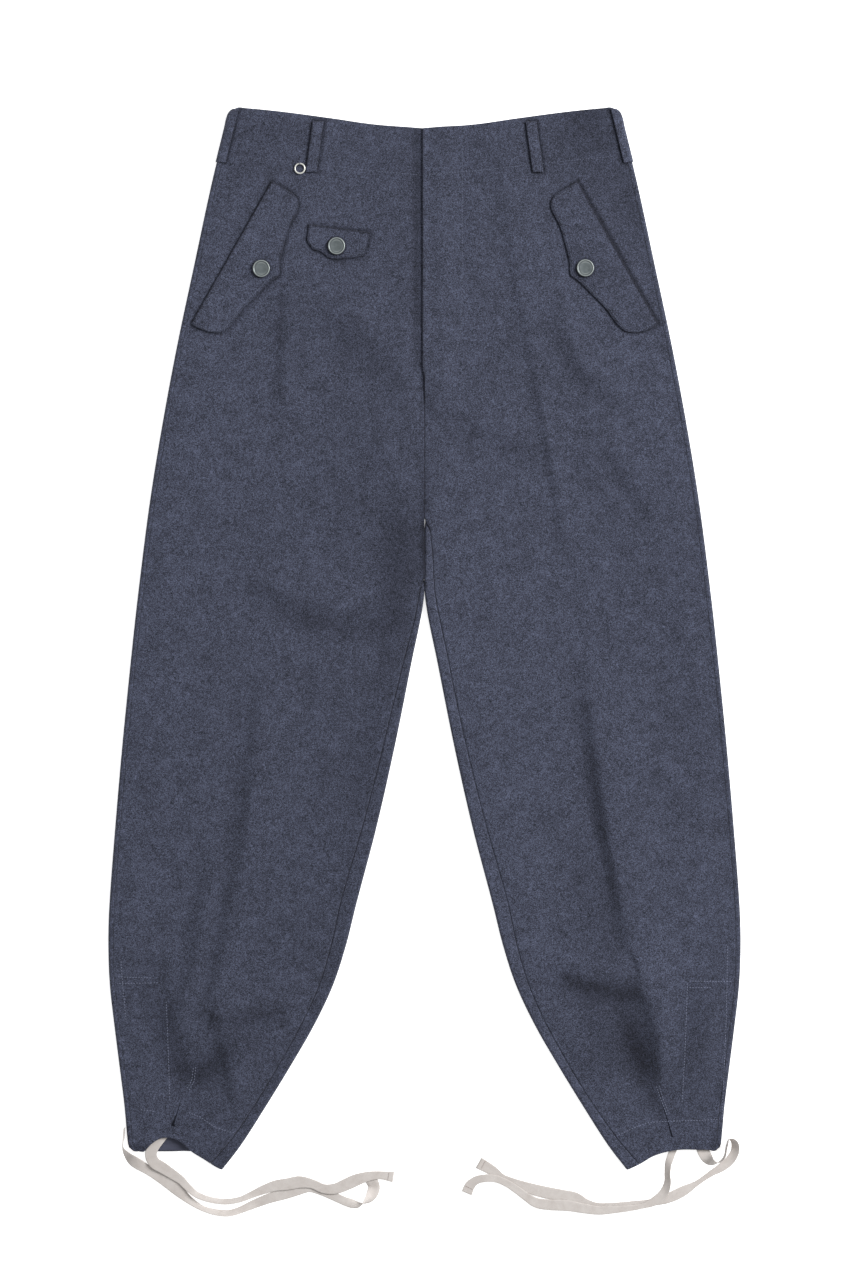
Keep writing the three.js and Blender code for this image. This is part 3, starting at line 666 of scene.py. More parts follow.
@dataclass(frozen=True)
class Wool:
    """Milled slate blue-grey wool: a felted face of curled light and dark fibres, with a little sheen.

    Painted shade: where a share is stored on the mesh, in folds, hollows, round sewn-on pieces and across
    each leg, the colour is darkened.
    """

    dark: tuple = (22, 24, 30)
    body: tuple = (49.5, 52, 64.3)
    light: tuple = (88, 93.5, 114.5)
    tip: tuple = (116, 122, 150)
    shadow: tuple = (15, 16, 22)
    kept_light: tuple = (0.155, 0.155, 0.175)
    nap_height: float = 0.0009

    def material(self) -> bpy.types.Material:
        """Builds the cloth's material.

        Returns:
            The material.
        """
        graph = Graph("slate_wool")
        fibre = graph.noise(420, 4, 0.72, 2.4)
        fine = graph.noise(1000, 3, 0.7, 1.0)
        cloud = graph.noise(75, 4, 0.65)
        nap = graph.blend(fibre, fine, 0.42)
        tone = graph.blend(nap, cloud, 0.09)
        colour = graph.ramp(tone, [(0.431, self.dark), (0.5, self.body), (0.571, self.light)])
        curl = graph.band(graph.noise(240, 2, 0.5, 4.5), 0.52, 0.02)
        colour = graph.tint(colour, self.tip, curl, 0.48)
        hollow = graph.band(graph.noise(270, 2, 0.5, 3.8), 0.47, 0.022)
        colour = graph.tint(colour, self.shadow, hollow, 0.6)
        # Painted shade: the stored share darkens the wool in folds, hollows, round sewn-on pieces and across
        # each leg
        colour = graph.darken(colour, self.kept_light, graph.stored("painted_shade"))
        graph.link(colour, graph.shader.inputs["Base Color"])
        graph.bump(graph.blend(nap, curl, 0.2), self.nap_height, 0.7)
        return graph.finish(Roughness=0.95, Sheen_Weight=0.1, Sheen_Roughness=0.5,
                            Specular_IOR_Level=0.15)


@dataclass(frozen=True)
class FacingCloth:
    """Smooth, tightly woven dark cloth inside the cuff."""

    dark: tuple = (52, 54, 67)
    light: tuple = (70, 72, 88)

    def material(self) -> bpy.types.Material:
        """Builds the facing's material.

        Returns:
            The material.
        """
        graph = Graph("cuff_facing_cloth")
        weave = graph.add("ShaderNodeTexWave", wave_type="BANDS", bands_direction="DIAGONAL")
        graph.link(graph.place, weave.inputs["Vector"])
        weave.inputs["Scale"].default_value = 480
        weave.inputs["Distortion"].default_value = 1.2
        tone = graph.blend(graph.noise(180, 4, 0.6), weave.outputs["Fac"], 0.25)
        colour = graph.ramp(tone, [(0.3, self.dark), (0.7, self.light)])
        graph.link(colour, graph.shader.inputs["Base Color"])
        graph.bump(weave.outputs["Fac"], 0.0002, 0.5)
        return graph.finish(Roughness=0.8, Specular_IOR_Level=0.25)


@dataclass(frozen=True)
class TapeCotton:
    """Unbleached cotton tape, woven close, with faint grey and warm marks."""

    shade: tuple = (171, 164, 159)
    body: tuple = (181, 175, 171)
    light: tuple = (189, 184, 180)

    def material(self) -> bpy.types.Material:
        """Builds the tape's material.

        Returns:
            The material.
        """
        graph = Graph("cotton_tape")
        weave = graph.noise(1500, 2, 0.5)
        mark = graph.noise(70, 4, 0.65, 0.6)
        tone = graph.blend(mark, weave, 0.3)
        colour = graph.ramp(tone, [(0.3, self.shade), (0.5, self.body), (0.7, self.light)])
        graph.link(colour, graph.shader.inputs["Base Color"])
        graph.bump(weave, 0.00025, 0.5)
        return graph.finish(Roughness=0.85, Sheen_Weight=0.08, Specular_IOR_Level=0.3)


@dataclass(frozen=True)
class ButtonMetal:
    """Grey-green pressed metal, with a painted highlight on the rim and painted shade in the groove beside
    it.
    """

    dark: tuple = (76, 83, 85)
    light: tuple = (96, 103, 105)
    highlight_colour: tuple = (150, 157, 156)
    shade_colour: tuple = (42, 46, 50)

    def material(self) -> bpy.types.Material:
        """Builds the button's material.

        Returns:
            The material.
        """
        graph = Graph("grey_button_metal")
        cloud = graph.noise(160, 4, 0.6)
        colour = graph.ramp(cloud, [(0.3, self.dark), (0.7, self.light)])
        # Painted highlight on the rim and dish, then painted shade in the groove and at the rim's edge
        colour = graph.tint(colour, self.highlight_colour, graph.stored("painted_rim_highlight"), 1.0)
        colour = graph.tint(colour, self.shade_colour, graph.stored("painted_rim_shade"), 1.0)
        graph.link(colour, graph.shader.inputs["Base Color"])
        graph.bump(graph.noise(1200, 2), 0.0001, 0.25)
        return graph.finish(Metallic=0.35, Roughness=0.38, Specular_IOR_Level=0.5)


@dataclass(frozen=True)
class RingWire:
    """Bright drawn wire with fine scratches."""

    dark: tuple = (176, 176, 172)
    light: tuple = (226, 226, 220)

    def material(self) -> bpy.types.Material:
        """Builds the wire's material.

        Returns:
            The material.
        """
        graph = Graph("ring_wire")
        scratch = graph.noise(2200, 2, 0.5, 0.4)
        colour = graph.ramp(scratch, [(0.35, self.dark), (0.65, self.light)])
        graph.link(colour, graph.shader.inputs["Base Color"])
        graph.bump(scratch, 0.00005, 0.3)
        return graph.finish(Metallic=0.45, Roughness=0.34)


@dataclass(frozen=True)
class PaintedDartShadow:
    """Painted shadow: a near-black colour for the shade inside the mouth of a dart."""

    dark: tuple = (14, 15, 20)
    light: tuple = (32, 34, 42)

    def material(self) -> bpy.types.Material:
        """Builds the material.

        Returns:
            The material.
        """
        graph = Graph("tuck_wool")
        shadow_mottle = graph.noise(700, 4, 0.7, 1.5)
        colour = graph.ramp(shadow_mottle, [(0.4, self.dark), (0.62, self.light)])
        graph.link(colour, graph.shader.inputs["Base Color"])
        graph.bump(shadow_mottle, 0.0004, 0.6)
        return graph.finish(Roughness=0.97, Specular_IOR_Level=0.05)


@dataclass(frozen=True)
class Thread:
    """Sewing thread with a fine twist, in a given colour."""

    name: str
    dark: tuple
    light: tuple

    def material(self) -> bpy.types.Material:
        """Builds the thread's material.

        Returns:
            The material.
        """
        graph = Graph(self.name)
        twist = graph.noise(2600, 2, 0.6, 0.5)
        colour = graph.ramp(twist, [(0.35, self.dark), (0.65, self.light)])
        graph.link(colour, graph.shader.inputs["Base Color"])
        graph.bump(twist, 0.0001, 0.4)
        return graph.finish(Roughness=0.75, Specular_IOR_Level=0.3)


class Finishes:
    """All the finishes, each made once."""

    def __init__(self) -> None:
        """Builds the materials."""
        self.wool = Wool().material()
        self.facing = FacingCloth().material()
        self.tape = TapeCotton().material()
        self.button = ButtonMetal().material()
        self.ring = RingWire().material()
        self.tuck = PaintedDartShadow().material()
        self.thread = Thread("slate_thread", (66, 70, 85), (94, 99, 118)).material()
        self.cuff_thread = Thread("cuff_thread", (92, 97, 115), (128, 134, 156)).material()
        self.tape_thread = Thread("tape_thread", (122, 102, 98), (146, 128, 122)).material()


def dress(piece: bpy.types.Object, finish: bpy.types.Material, body: str = GARMENT) -> None:
    """Gives a piece its finish and its place in the model.

    Args:
        piece: The piece.
        finish: Its material.
        body: The body that it rides on.
    """
    piece.data.materials.append(finish)
    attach(piece, body)
    LOG.info("%s: %d faces", piece.name, len(piece.data.polygons))


def distance_to(line: Array, x: Array, y: Array) -> Array:
    """Distance of places from a line of points.

    Args:
        line: The line's points (x, y).
        x: Places across.
        y: Places along.

    Returns:
        The distance of each place.
    """
    best = np.full(np.shape(x), np.inf)
    for a, b in zip(line[:-1], line[1:]):
        run = b - a
        t = np.clip(((x - a[0]) * run[0] + (y - a[1]) * run[1]) / max(run @ run, 1e-9), 0.0, 1.0)
        best = np.minimum(best, np.hypot(x - a[0] - t * run[0], y - a[1] - t * run[1]))
    return best


def store(piece: bpy.types.Object, name: str, values: Array) -> None:
    """Stores a value at each point of a piece, for its finish.

    Args:
        piece: The piece.
        name: The value's name.
        values: The value at each point.
    """
    piece.data.attributes.new(name, "FLOAT", "POINT").data.foreach_set("value", np.ravel(values))


@dataclass(frozen=True)
class PaintedLegShade:
    """Painted shade across the legs, and how it changes up the left hip."""

    shade: float = 0.24
    hip_inner: float = 0.52
    hip_outer: float = 0.95
    hip_starts: float = 60.0
    hip_full: float = 260.0
    hip_width: float = 225.0


PAINTED_LEG_SHADE = PaintedLegShade()
WAVE_SEEDS = {Side.LEFT: 5, Side.RIGHT: 9}


def store_painted_shade(piece: bpy.types.Object, share: Array) -> None:
    """Stores the share of painted shade at each point, the same on both faces of a wall.

    Args:
        piece: The wall.
        share: Grid of shares, as its middle points run.
    """
    store(piece, "painted_shade", np.concatenate([np.ravel(share), np.ravel(share)]))


def painted_leg_shade(side: Side, across: Array, y: Array) -> Array:
    """Painted shade across each leg, darker toward the wearer's left of it.

    Args:
        side: The leg's side.
        across: Share of the way from the leg's inner edge to its outer one.
        y: Places along.

    Returns:
        The share of shade at each place.
    """
    toward_left = across if side is Side.LEFT else 1 - across
    if side is Side.LEFT:
        hip = np.clip((y - PAINTED_LEG_SHADE.hip_starts) / (PAINTED_LEG_SHADE.hip_full - PAINTED_LEG_SHADE.hip_starts), 0.0, 1.0)
        at_hip = PAINTED_LEG_SHADE.hip_inner + (PAINTED_LEG_SHADE.hip_outer - PAINTED_LEG_SHADE.hip_inner) * across
        toward_left = toward_left + (at_hip - toward_left) * hip
    return PAINTED_LEG_SHADE.shade * np.clip(toward_left, 0.0, 1.0)


def near_edges(count: int, length: float) -> Array:
    """Shares along a length, even inside and closer near both ends, where the edge is round.

    Args:
        count: Number of even steps.
        length: The length in millimetres.

    Returns:
        Rising shares from 0 to 1.
    """
    ease = np.array([0.0, 0.12, 0.35, 0.65, EDGE_ROUND]) / length
    return np.concatenate([ease[:-1], np.linspace(ease[-1], 1 - ease[-1], count), 1 - ease[:-1][::-1]])


HEM_RISE = {
    Side.LEFT: Profile((
        (0, 0), (0.15, 3.4), (0.3, 8.6), (0.46, 10.2), (0.62, 9.2), (0.86, 4.2), (0.95, 2), (1, 0),
    )),
    Side.RIGHT: Profile((
        (0, 0), (0.1, 2.8), (0.2, 6.8), (0.35, 12.6), (0.45, 19), (0.54, 22), (0.66, 21),
        (0.73, 18), (0.82, 10.5), (0.9, 1.5), (0.95, 0.8), (1, 0),
    )),
}
BACK_HEM_RISE = {
    Side.LEFT: HEM_RISE[Side.LEFT],
    Side.RIGHT: Profile((
        (0, 0), (0.1, 2.8), (0.2, 6.8), (0.35, 12.2), (0.5, 9.1), (0.75, 4), (0.9, 1.5),
        (0.95, 0.8), (1, 0),
    )),
}

FOLDS = {
    Side.LEFT: (
        # Pressed crease: faint above the knee, then standing up, with its steep side inward
        Fold((79, 513), (108, 303), (153, 93), 1.7, 22, 7, (0.5, 0.5)),
        Fold((170, -15), (191, -190), (218, -322), 6.4, 46, 10, (0.08, 0.4)),
        Fold((225, -352), (262, -420), (245, -478), 7.0, 26, 11, (0.2, 0.2)),
        # Hollow above the ankle dart, and the bend that hangs over it
        Fold((196, -385), (206, -430), (236, -478), -3.4, 22, 28, (0.6, 0.4)),
        Fold((137, -344), (179, -358), (222, -362), 5.0, 24, 10, (0.1, 0.9)),
        Fold((186, -392), (192, -428), (214, -462), 1.6, 12, 9, (0.2, 0.2)),
        # Slack at the hip and the thigh
        Fold((146, 348), (150, 284), (212, 250), 2.4, 16, 9, (0.3, 0.1)),
        Fold((21, 246), (78, 212), (152, 193), 1.9, 24, 10, (0.2, 0.2)),
        Fold((178, 226), (216, 180), (254, 104), 2.3, 22, 11, (0.2, 0.1)),
        Fold((150, 222), (186, 166), (222, 96), 1.5, 16, 9, (0.2, 0.1)),
        Fold((172, -2), (232, 0), (294, 3), 1.1, 18, 8, (0.3, 0.3)),
        Fold((285, -330), (300, -380), (296, -450), 1.4, 16, 20, (0.1, 0.2)),
        Fold((226, -120), (262, -150), (292, -210), 1.2, 22, 14, (0.1, 0.1)),
        Fold((190, 528), (212, 470), (232, 400), -1.6, 20, 26, (0.6, 0.1)),
    ),
    Side.RIGHT: (
        # Pressed crease above, then two long soft folds that meet over the ankle
        Fold((-142, 372), (-145, 303), (-148, 215), 1.9, 20, 7, (0.5, 0.2)),
        Fold((-166, -20), (-172, -170), (-219, -380), 4.2, 30, 10, (0.2, 0.6)),
        Fold((-218, -215), (-230, -306), (-250, -394), 2.9, 12, 8, (0.1, 0.7)),
        # Hollow above the ankle dart, its far bank, and the bend that hangs over it
        Fold((-264, -408), (-238, -466), (-208, -428), -3.2, 15, 15, (0.4, 0.5)),
        Fold((-199, -486), (-199, -440), (-214, -398), 5.2, 10, 26, (0.2, 0.3)),
        Fold((-232, -386), (-183, -384), (-128, -374), 4.0, 24, 10, (0.5, 0.1)),
        Fold((-300, -336), (-286, -340), (-266, -338), 1.5, 12, 6, (0.3, 0.3)),
        # Pull from the crotch across the thigh
        Fold((-194, 70), (-130, 26), (-24, 36), 4.2, 28, 10, (0.15, 0.5)),
        Fold((-40, 168), (-52, 82), (-46, -14), -3.0, 25, 30, (0.2, 0.2)),
        Fold((-112, 358), (-66, 326), (-20, 280), 2.4, 26, 15, (0.2, 0.3)),
        Fold((-58, 250), (-44, 200), (-30, 150), 1.6, 14, 18, (0.2, 0.2)),
        Fold((-60, -40), (-72, -130), (-96, -220), -1.6, 20, 30, (0.2, 0.2)),
        Fold((-236, -70), (-226, -110), (-206, -150), 1.2, 18, 10, (0.2, 0.2)),
        Fold((-190, 528), (-160, 490), (-140, 470), -1.2, 20, 20, (0.5, 0.2)),
    ),
}

# Painted shade: above zero the colour is darkened, below zero some painted shade is taken away and the colour
# is lighter
PAINTED_SHADE_STROKES = {
    Side.LEFT: (
        Fold((160, -30), (180, -205), (210, -314), 0.34, 7, 9, (0.1, 0.4)),
        Fold((138, -353), (176, -374), (216, -372), 0.46, 12, 14, (0.3, 0.8)),
        Fold((213, -384), (222, -434), (242, -476), 0.7, 15, 17, (0.3, 0.4)),
        Fold((184, -388), (188, -430), (200, -470), 0.28, 22, 26, (0.4, 0.2)),
        Fold((242, -479), (250, -502), (256, -520), 0.25, 5, 5, (0.6, 0.2)),
        Fold((142, -411), (160, -445), (186, -470), 0.16, 9, 9, (0.2, 0.4)),
        Fold((136, 336), (140, 276), (199, 247), 0.2, 7, 9, (0.3, 0.2)),
        Fold((108, 320), (127, 212), (144, 98), 0.27, 3.5, 4.5, (0.4, 0.2)),
        Fold((114, 300), (134, 205), (152, 100), -0.1, 5, 4, (0.4, 0.2)),
        Fold((174, 208), (206, 170), (240, 119), 0.14, 12, 15, (0.2, 0.2)),
        Fold((16, 235), (70, 200), (142, 187), 0.12, 12, 14, (0.3, 0.2)),
        Fold((176, 550), (212, 480), (230, 400), 0.2, 28, 30, (0.9, 0.1)),
        Fold((176, 556), (160, 520), (138, 480), 0.17, 26, 30, (1.0, 0.2)),
        Fold((284, -370), (274, -425), (270, -480), 0.27, 17, 12, (0.3, 0.3)),
        Fold((158, -358), (170, -390), (180, -418), 0.13, 17, 17, (0.3, 0.3)),
        Fold((158, -190), (172, -290), (184, -350), 0.17, 14, 18, (0.2, 0.6)),
        Fold((188, -262), (196, -310), (200, -350), 0.2, 10, 12, (0.4, 0.4)),
        Fold((244, -280), (258, -325), (264, -370), -0.14, 24, 18, (0.3, 0.3)),
        Fold((249, -425), (250, -450), (252, -480), -0.14, 10, 7, (0.4, 0.3)),
        Fold((248, 275), (252, 230), (256, 180), -0.13, 16, 18, (0.3, 0.3)),
        Fold((288, -190), (300, -255), (302, -320), -0.12, 26, 36, (0.3, 0.3)),
        Fold((205, 348), (212, 310), (222, 268), -0.12, 18, 22, (0.4, 0.4)),
        Fold((146, 412), (158, 380), (178, 345), -0.12, 20, 22, (0.4, 0.3)),
        Fold((72, 487), (76, 458), (81, 425), 0.14, 4, 4, (0.3, 0.3)),
        Fold((3, 172), (2, 100), (1, 36), 0.5, 3.2, 3.2, (0.5, 0.7)),
        Fold((20, 522), (50, 502), (88, 492), 0.1, 22, 22, (0.5, 0.3)),
        Fold((2, 530), (2, 410), (2, 290), -0.13, 3.4, 3.4, (1.0, 1.0)),
        Fold((4, 256), (6, 244), (8, 232), 0.3, 4, 4, (0.3, 0.3)),
    ),
    Side.RIGHT: (
        Fold((-18, 150), (-22, 82), (-32, 0), 0.32, 22, 30, (0.1, 0.4)),
        Fold((-184, 54), (-112, -8), (-25, 18), 0.22, 13, 14, (0.2, 0.4)),
        Fold((-186, -60), (-198, -230), (-232, -392), 0.16, 9, 9, (0.2, 0.7)),
        Fold((-229, -215), (-244, -306), (-262, -392), 0.17, 7, 8, (0.2, 0.8)),
        Fold((-272, -398), (-252, -494), (-207, -430), 0.6, 14, 14, (0.4, 0.4)),
        Fold((-220, -402), (-182, -398), (-138, -388), 0.26, 8, 11, (0.8, 0.1)),
        Fold((-112, 342), (-70, 312), (-28, 262), 0.17, 22, 26, (0.3, 0.4)),
        Fold((-150, 366), (-152, 300), (-157, 226), 0.14, 4, 5, (0.5, 0.2)),
        Fold((-200, 545), (-182, 500), (-175, 452), 0.2, 24, 24, (0.5, 0.5)),
        Fold((-34, -16), (-62, -160), (-92, -320), 0.12, 14, 12, (0.5, 0.3)),
        Fold((-304, -339), (-286, -342), (-264, -340), 0.18, 8, 5, (0.3, 0.3)),
        Fold((-1, 172), (-1, 100), (-1, 36), 0.5, 3.2, 3.2, (0.5, 0.7)),
        Fold((-8, 534), (-8, 410), (-8, 286), 0.42, 4.2, 5.0, (0.8, 0.8)),
        Fold((-3, 534), (-3, 410), (-3, 290), -0.26, 2.2, 2.2, (1.0, 1.0)),
        Fold((-6, 340), (-6, 300), (-4, 240), -0.16, 9, 14, (0.3, 0.3)),
        Fold((-292, -345), (-284, -385), (-280, -432), 0.2, 16, 16, (0.4, 0.3)),
        Fold((-172, 540), (-150, 532), (-112, 528), 0.2, 14, 14, (0.4, 0.3)),
        Fold((-174, 385), (-150, 330), (-126, 282), 0.12, 24, 24, (0.4, 0.3)),
        Fold((-88, 168), (-80, 130), (-76, 88), 0.12, 22, 20, (0.3, 0.3)),
        Fold((-56, 425), (-52, 380), (-56, 325), -0.12, 22, 16, (0.3, 0.3)),
        Fold((-192, -400), (-178, -428), (-160, -448), 0.14, 16, 16, (0.3, 0.3)),
        Fold((-272, -336), (-270, -385), (-258, -422), 0.2, 5, 6, (0.3, 0.3)),
        Fold((-250, -360), (-252, -400), (-243, -430), -0.14, 8, 8, (0.3, 0.3)),
        Fold((-310, -533), (-302, -536), (-291, -535), 0.6, 3.5, 4, (0.6, 0.6)),
    ),
}


@dataclass(frozen=True)
class FrontPanel:
    """A leg's front, from the fly and inseam to the outseam, with its creases."""

    side: Side
    columns: int = 100
    rows: int = 330
    leg_puff: float = 1.3
    seam_fade: float = 22.0
    fly_end_y: float = 284.0
    fly_closed_y: float = 275.0
    fly_flat_y: float = 232.0
    fly_overlap: float = 2.0
    fly_underlap: float = 12.0
    fly_lift: float = CLOTH + 0.8
    fly_lift_ends: Point = (15.0, 46.0)
    cut: Point = (0.329, 1.109)
    cut_area: float = 0.261
    broad_waves: Point = (0.3, 48.0)
    fine_waves: Point = (0.12, 19.0)
    mean_width: float = 300.0
    most_painted_shade: float = 0.85
    overlay_shade: float = 0.64
    overlay_reach: float = 2.3
    overlay_shift: Point = (1.1, 0.4)
    fly_edge_round: float = 1.8

    @property
    def leg(self) -> LegShape:
        """The leg that the panel belongs to."""
        return LEGS[self.side]

    def start(self, rows: Rows) -> Array:
        """Where the panel starts on each row: at the fly, the centre seam or the inseam.

        Args:
            rows: The rows.

        Returns:
            The distance from each row's inner end.
        """
        closed = smoothstep(self.fly_end_y, self.fly_closed_y, rows.inner_y)
        fly = -self.fly_overlap if self.side is Side.LEFT else -self.fly_underlap
        return fly * (1 - closed) + (rows.inseam + INSEAM_GAP / 2) * closed

    def middle_height(self, rows: Rows, distance: Array, x: Array, y: Array) -> Array:
        """Height of the cloth's middle.

        Args:
            rows: The rows that the places are on.
            distance: Their distances from the inner end.
            x: Their places across, in the leg's own half.
            y: Their places along.

        Returns:
            The heights.
        """
        own_x = x * self.side.value
        from_seam = np.minimum(distance - rows.inseam, rows.width - self.leg.outseam_inset - distance)
        free = smoothstep(0, self.seam_fade, from_seam)
        folds = sum(fold.relief(own_x, y) for fold in FOLDS[self.side])
        seed = WAVE_SEEDS[self.side]
        (broad, broad_cell), (fine, fine_cell) = self.broad_waves, self.fine_waves
        waves = (broad * soft_noise(own_x, y, broad_cell, seed)
                 + fine * soft_noise(own_x, y, fine_cell, seed + 1))
        height = FRONT_MID + free * (self.leg_puff + folds + waves)
        open_fly = 1 - smoothstep(self.fly_closed_y, self.fly_flat_y, rows.inner_y)
        over = 1 - smoothstep(*self.fly_lift_ends, x)
        lift = self.fly_lift * open_fly * over if self.side is Side.LEFT else 0.0
        return np.maximum(height, LOWEST_FRONT_MID) + lift

    def top_at(self, x: Array, y: Array) -> Array:
        """Height of the panel's face at places on either side of the middle."""
        rows, distance = self.leg.locate(np.abs(x), np.asarray(y, dtype=float), HEM_RISE[self.side])
        return self.middle_height(rows, distance, np.abs(x), y) + HALF

    def painted_shade_at(self, x: Array, y: Array, across: Array, outlines: list[Array]) -> Array:
        """Painted shade: in folds and hollows and across the leg, with a painted shadow round what is sewn
        on.

        Args:
            x: Places across.
            y: Places along.
            across: Share of the way across the leg, from its inner edge.
            outlines: Outlines (x, y) of the pieces sewn onto the panel.

        Returns:
            The share at each place.
        """
        share = painted_leg_shade(self.side, across, y)
        share = share + sum(fold.relief(x, y) for fold in PAINTED_SHADE_STROKES[self.side])
        for outline in outlines:
            # Painted shadow round each sewn-on piece, shifted the way a cast shadow falls
            to_piece = distance_to(outline + self.overlay_shift, x, y)
            share = share + self.overlay_shade * bell(to_piece, self.overlay_reach)
        return np.clip(share, 0.0, self.most_painted_shade)

    def build(self, finishes: Finishes, outlines: list[Array]) -> bpy.types.Object:
        """Makes the panel.

        Args:
            finishes: The finishes.
            outlines: Outlines of the pieces sewn onto it.

        Returns:
            The panel.
        """
        leg = self.leg
        share = near_edges(self.rows, leg.length)
        rows = leg.rows(share[:, None])
        start = self.start(rows)
        run = rows.width - leg.outseam_inset - OUTSEAM_GAP / 2 - start
        distance = start + near_edges(self.columns, self.mean_width)[None, :] * run
        x, y = leg.place(rows, distance, HEM_RISE[self.side])
        z = self.middle_height(rows, distance, x, y)
        middle = np.stack([x * self.side.value, y, z], axis=2)
        to_end = np.minimum(share, 1 - share)[:, None] * leg.length
        laps = (y > FLY_FOOT) if self.side is Side.LEFT else np.zeros_like(y, dtype=bool)
        inner = MeshMaker.rounding(distance - start, np.where(laps, self.fly_edge_round, EDGE_ROUND))
        wall = np.minimum(np.minimum(inner, MeshMaker.rounding(to_end)),
                          MeshMaker.rounding(start + run - distance, SEAM_ROUND))
        panel = MeshMaker.wall(f"{self.side.word}_front_wool", middle, CLOTH, wall)
        # Painted shade and painted shadow on the panel
        store_painted_shade(panel, self.painted_shade_at(x * self.side.value, y, distance / rows.width, outlines))
        dress(panel, finishes.wool)
        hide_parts(f"{self.side.word}_front")
        return panel


@dataclass(frozen=True)
class BackPanel:
    """A leg's back, flat below and rolled round both edges onto the front."""

    side: Side
    rows: int = 330
    arc_steps: int = 14
    floor_columns: int = 8
    cut: Point = (0.337, 1.116)
    cut_area: float = 0.290
    inner_steps: tuple = (0.0, 0.01, 0.03, 0.05, 0.075, 0.3, 0.65)
    seam_steps: tuple = (EDGE_ROUND, SEAM_ROUND, 0.25, 0.1, 0.0)

    def section(self, rows: Rows) -> tuple[Array, Array]:
        """The panel's section on each row.

        Args:
            rows: The rows, as a column.

        Returns:
            Distances from the inner end and heights, rows by columns.
        """
        edge = FOLD_RADIUS + HALF
        leg = LEGS[self.side]
        seam = np.maximum(rows.inseam - INSEAM_GAP / 2, leg.narrowest_inset - INSEAM_GAP / 2)
        parts_d = [seam + (edge - seam) * step for step in self.inner_steps]
        parts_z = [np.full_like(seam, FRONT_MID) for _ in self.inner_steps]
        for step in range(self.arc_steps + 1):
            angle = math.pi / 2 + math.pi * step / self.arc_steps
            parts_d.append(np.full_like(seam, edge + FOLD_RADIUS * math.cos(angle)))
            parts_z.append(np.full_like(seam, FLOOR_MID + FOLD_RADIUS * (1 + math.sin(angle))))
        count = len(parts_d)
        for index in range(count):
            flat = edge * index / (count - 1)
            parts_d[index] = flat + (parts_d[index] - flat) * rows.risen
            parts_z[index] = FLOOR_MID + (parts_z[index] - FLOOR_MID) * rows.risen
        for share in np.linspace(0, 1, self.floor_columns + 2)[1:-1]:
            parts_d.append(edge + (rows.width - 2 * edge) * share)
            parts_z.append(np.full_like(seam, FLOOR_MID))
        for step in range(self.arc_steps + 1):
            angle = -math.pi / 2 + math.pi * step / self.arc_steps
            parts_d.append(rows.width - edge + FOLD_RADIUS * math.cos(angle))
            parts_z.append(np.full_like(seam, FLOOR_MID + FOLD_RADIUS * (1 + math.sin(angle))))
        outseam = rows.width - leg.outseam_inset + OUTSEAM_GAP / 2
        for step in self.seam_steps:
            parts_d.append(outseam + step)
            parts_z.append(np.full_like(seam, FRONT_MID))
        return np.concatenate(parts_d, axis=1), np.concatenate(parts_z, axis=1)

    def build(self, finishes: Finishes) -> bpy.types.Object:
        """Makes the panel.

        Args:
            finishes: The finishes.

        Returns:
            The panel.
        """
        leg = LEGS[self.side]
        share = near_edges(self.rows, leg.length)
        rows = leg.rows(share[:, None])
        distance, z = self.section(rows)
        x, y = leg.place(rows, distance, BACK_HEM_RISE[self.side])
        middle = np.stack([x * self.side.value, y, z], axis=2)
        along = np.cumsum(np.hypot(np.diff(distance, axis=1), np.diff(z, axis=1)), axis=1)
        along = np.concatenate([np.zeros((len(share), 1)), along], axis=1)
        to_end = np.minimum(share, 1 - share)[:, None] * leg.length
        wall = np.minimum(MeshMaker.rounding(np.minimum(along, to_end)),
                          MeshMaker.rounding(along[:, -1:] - along, SEAM_ROUND))
        panel = MeshMaker.wall(f"{self.side.word}_back_wool", middle, CLOTH, wall)
        # Painted shade across the leg, darker toward the wearer's left
        store_painted_shade(panel, painted_leg_shade(self.side, distance / rows.width, y))
        dress(panel, finishes.wool)
        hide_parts(f"{self.side.word}_back")
        return panel


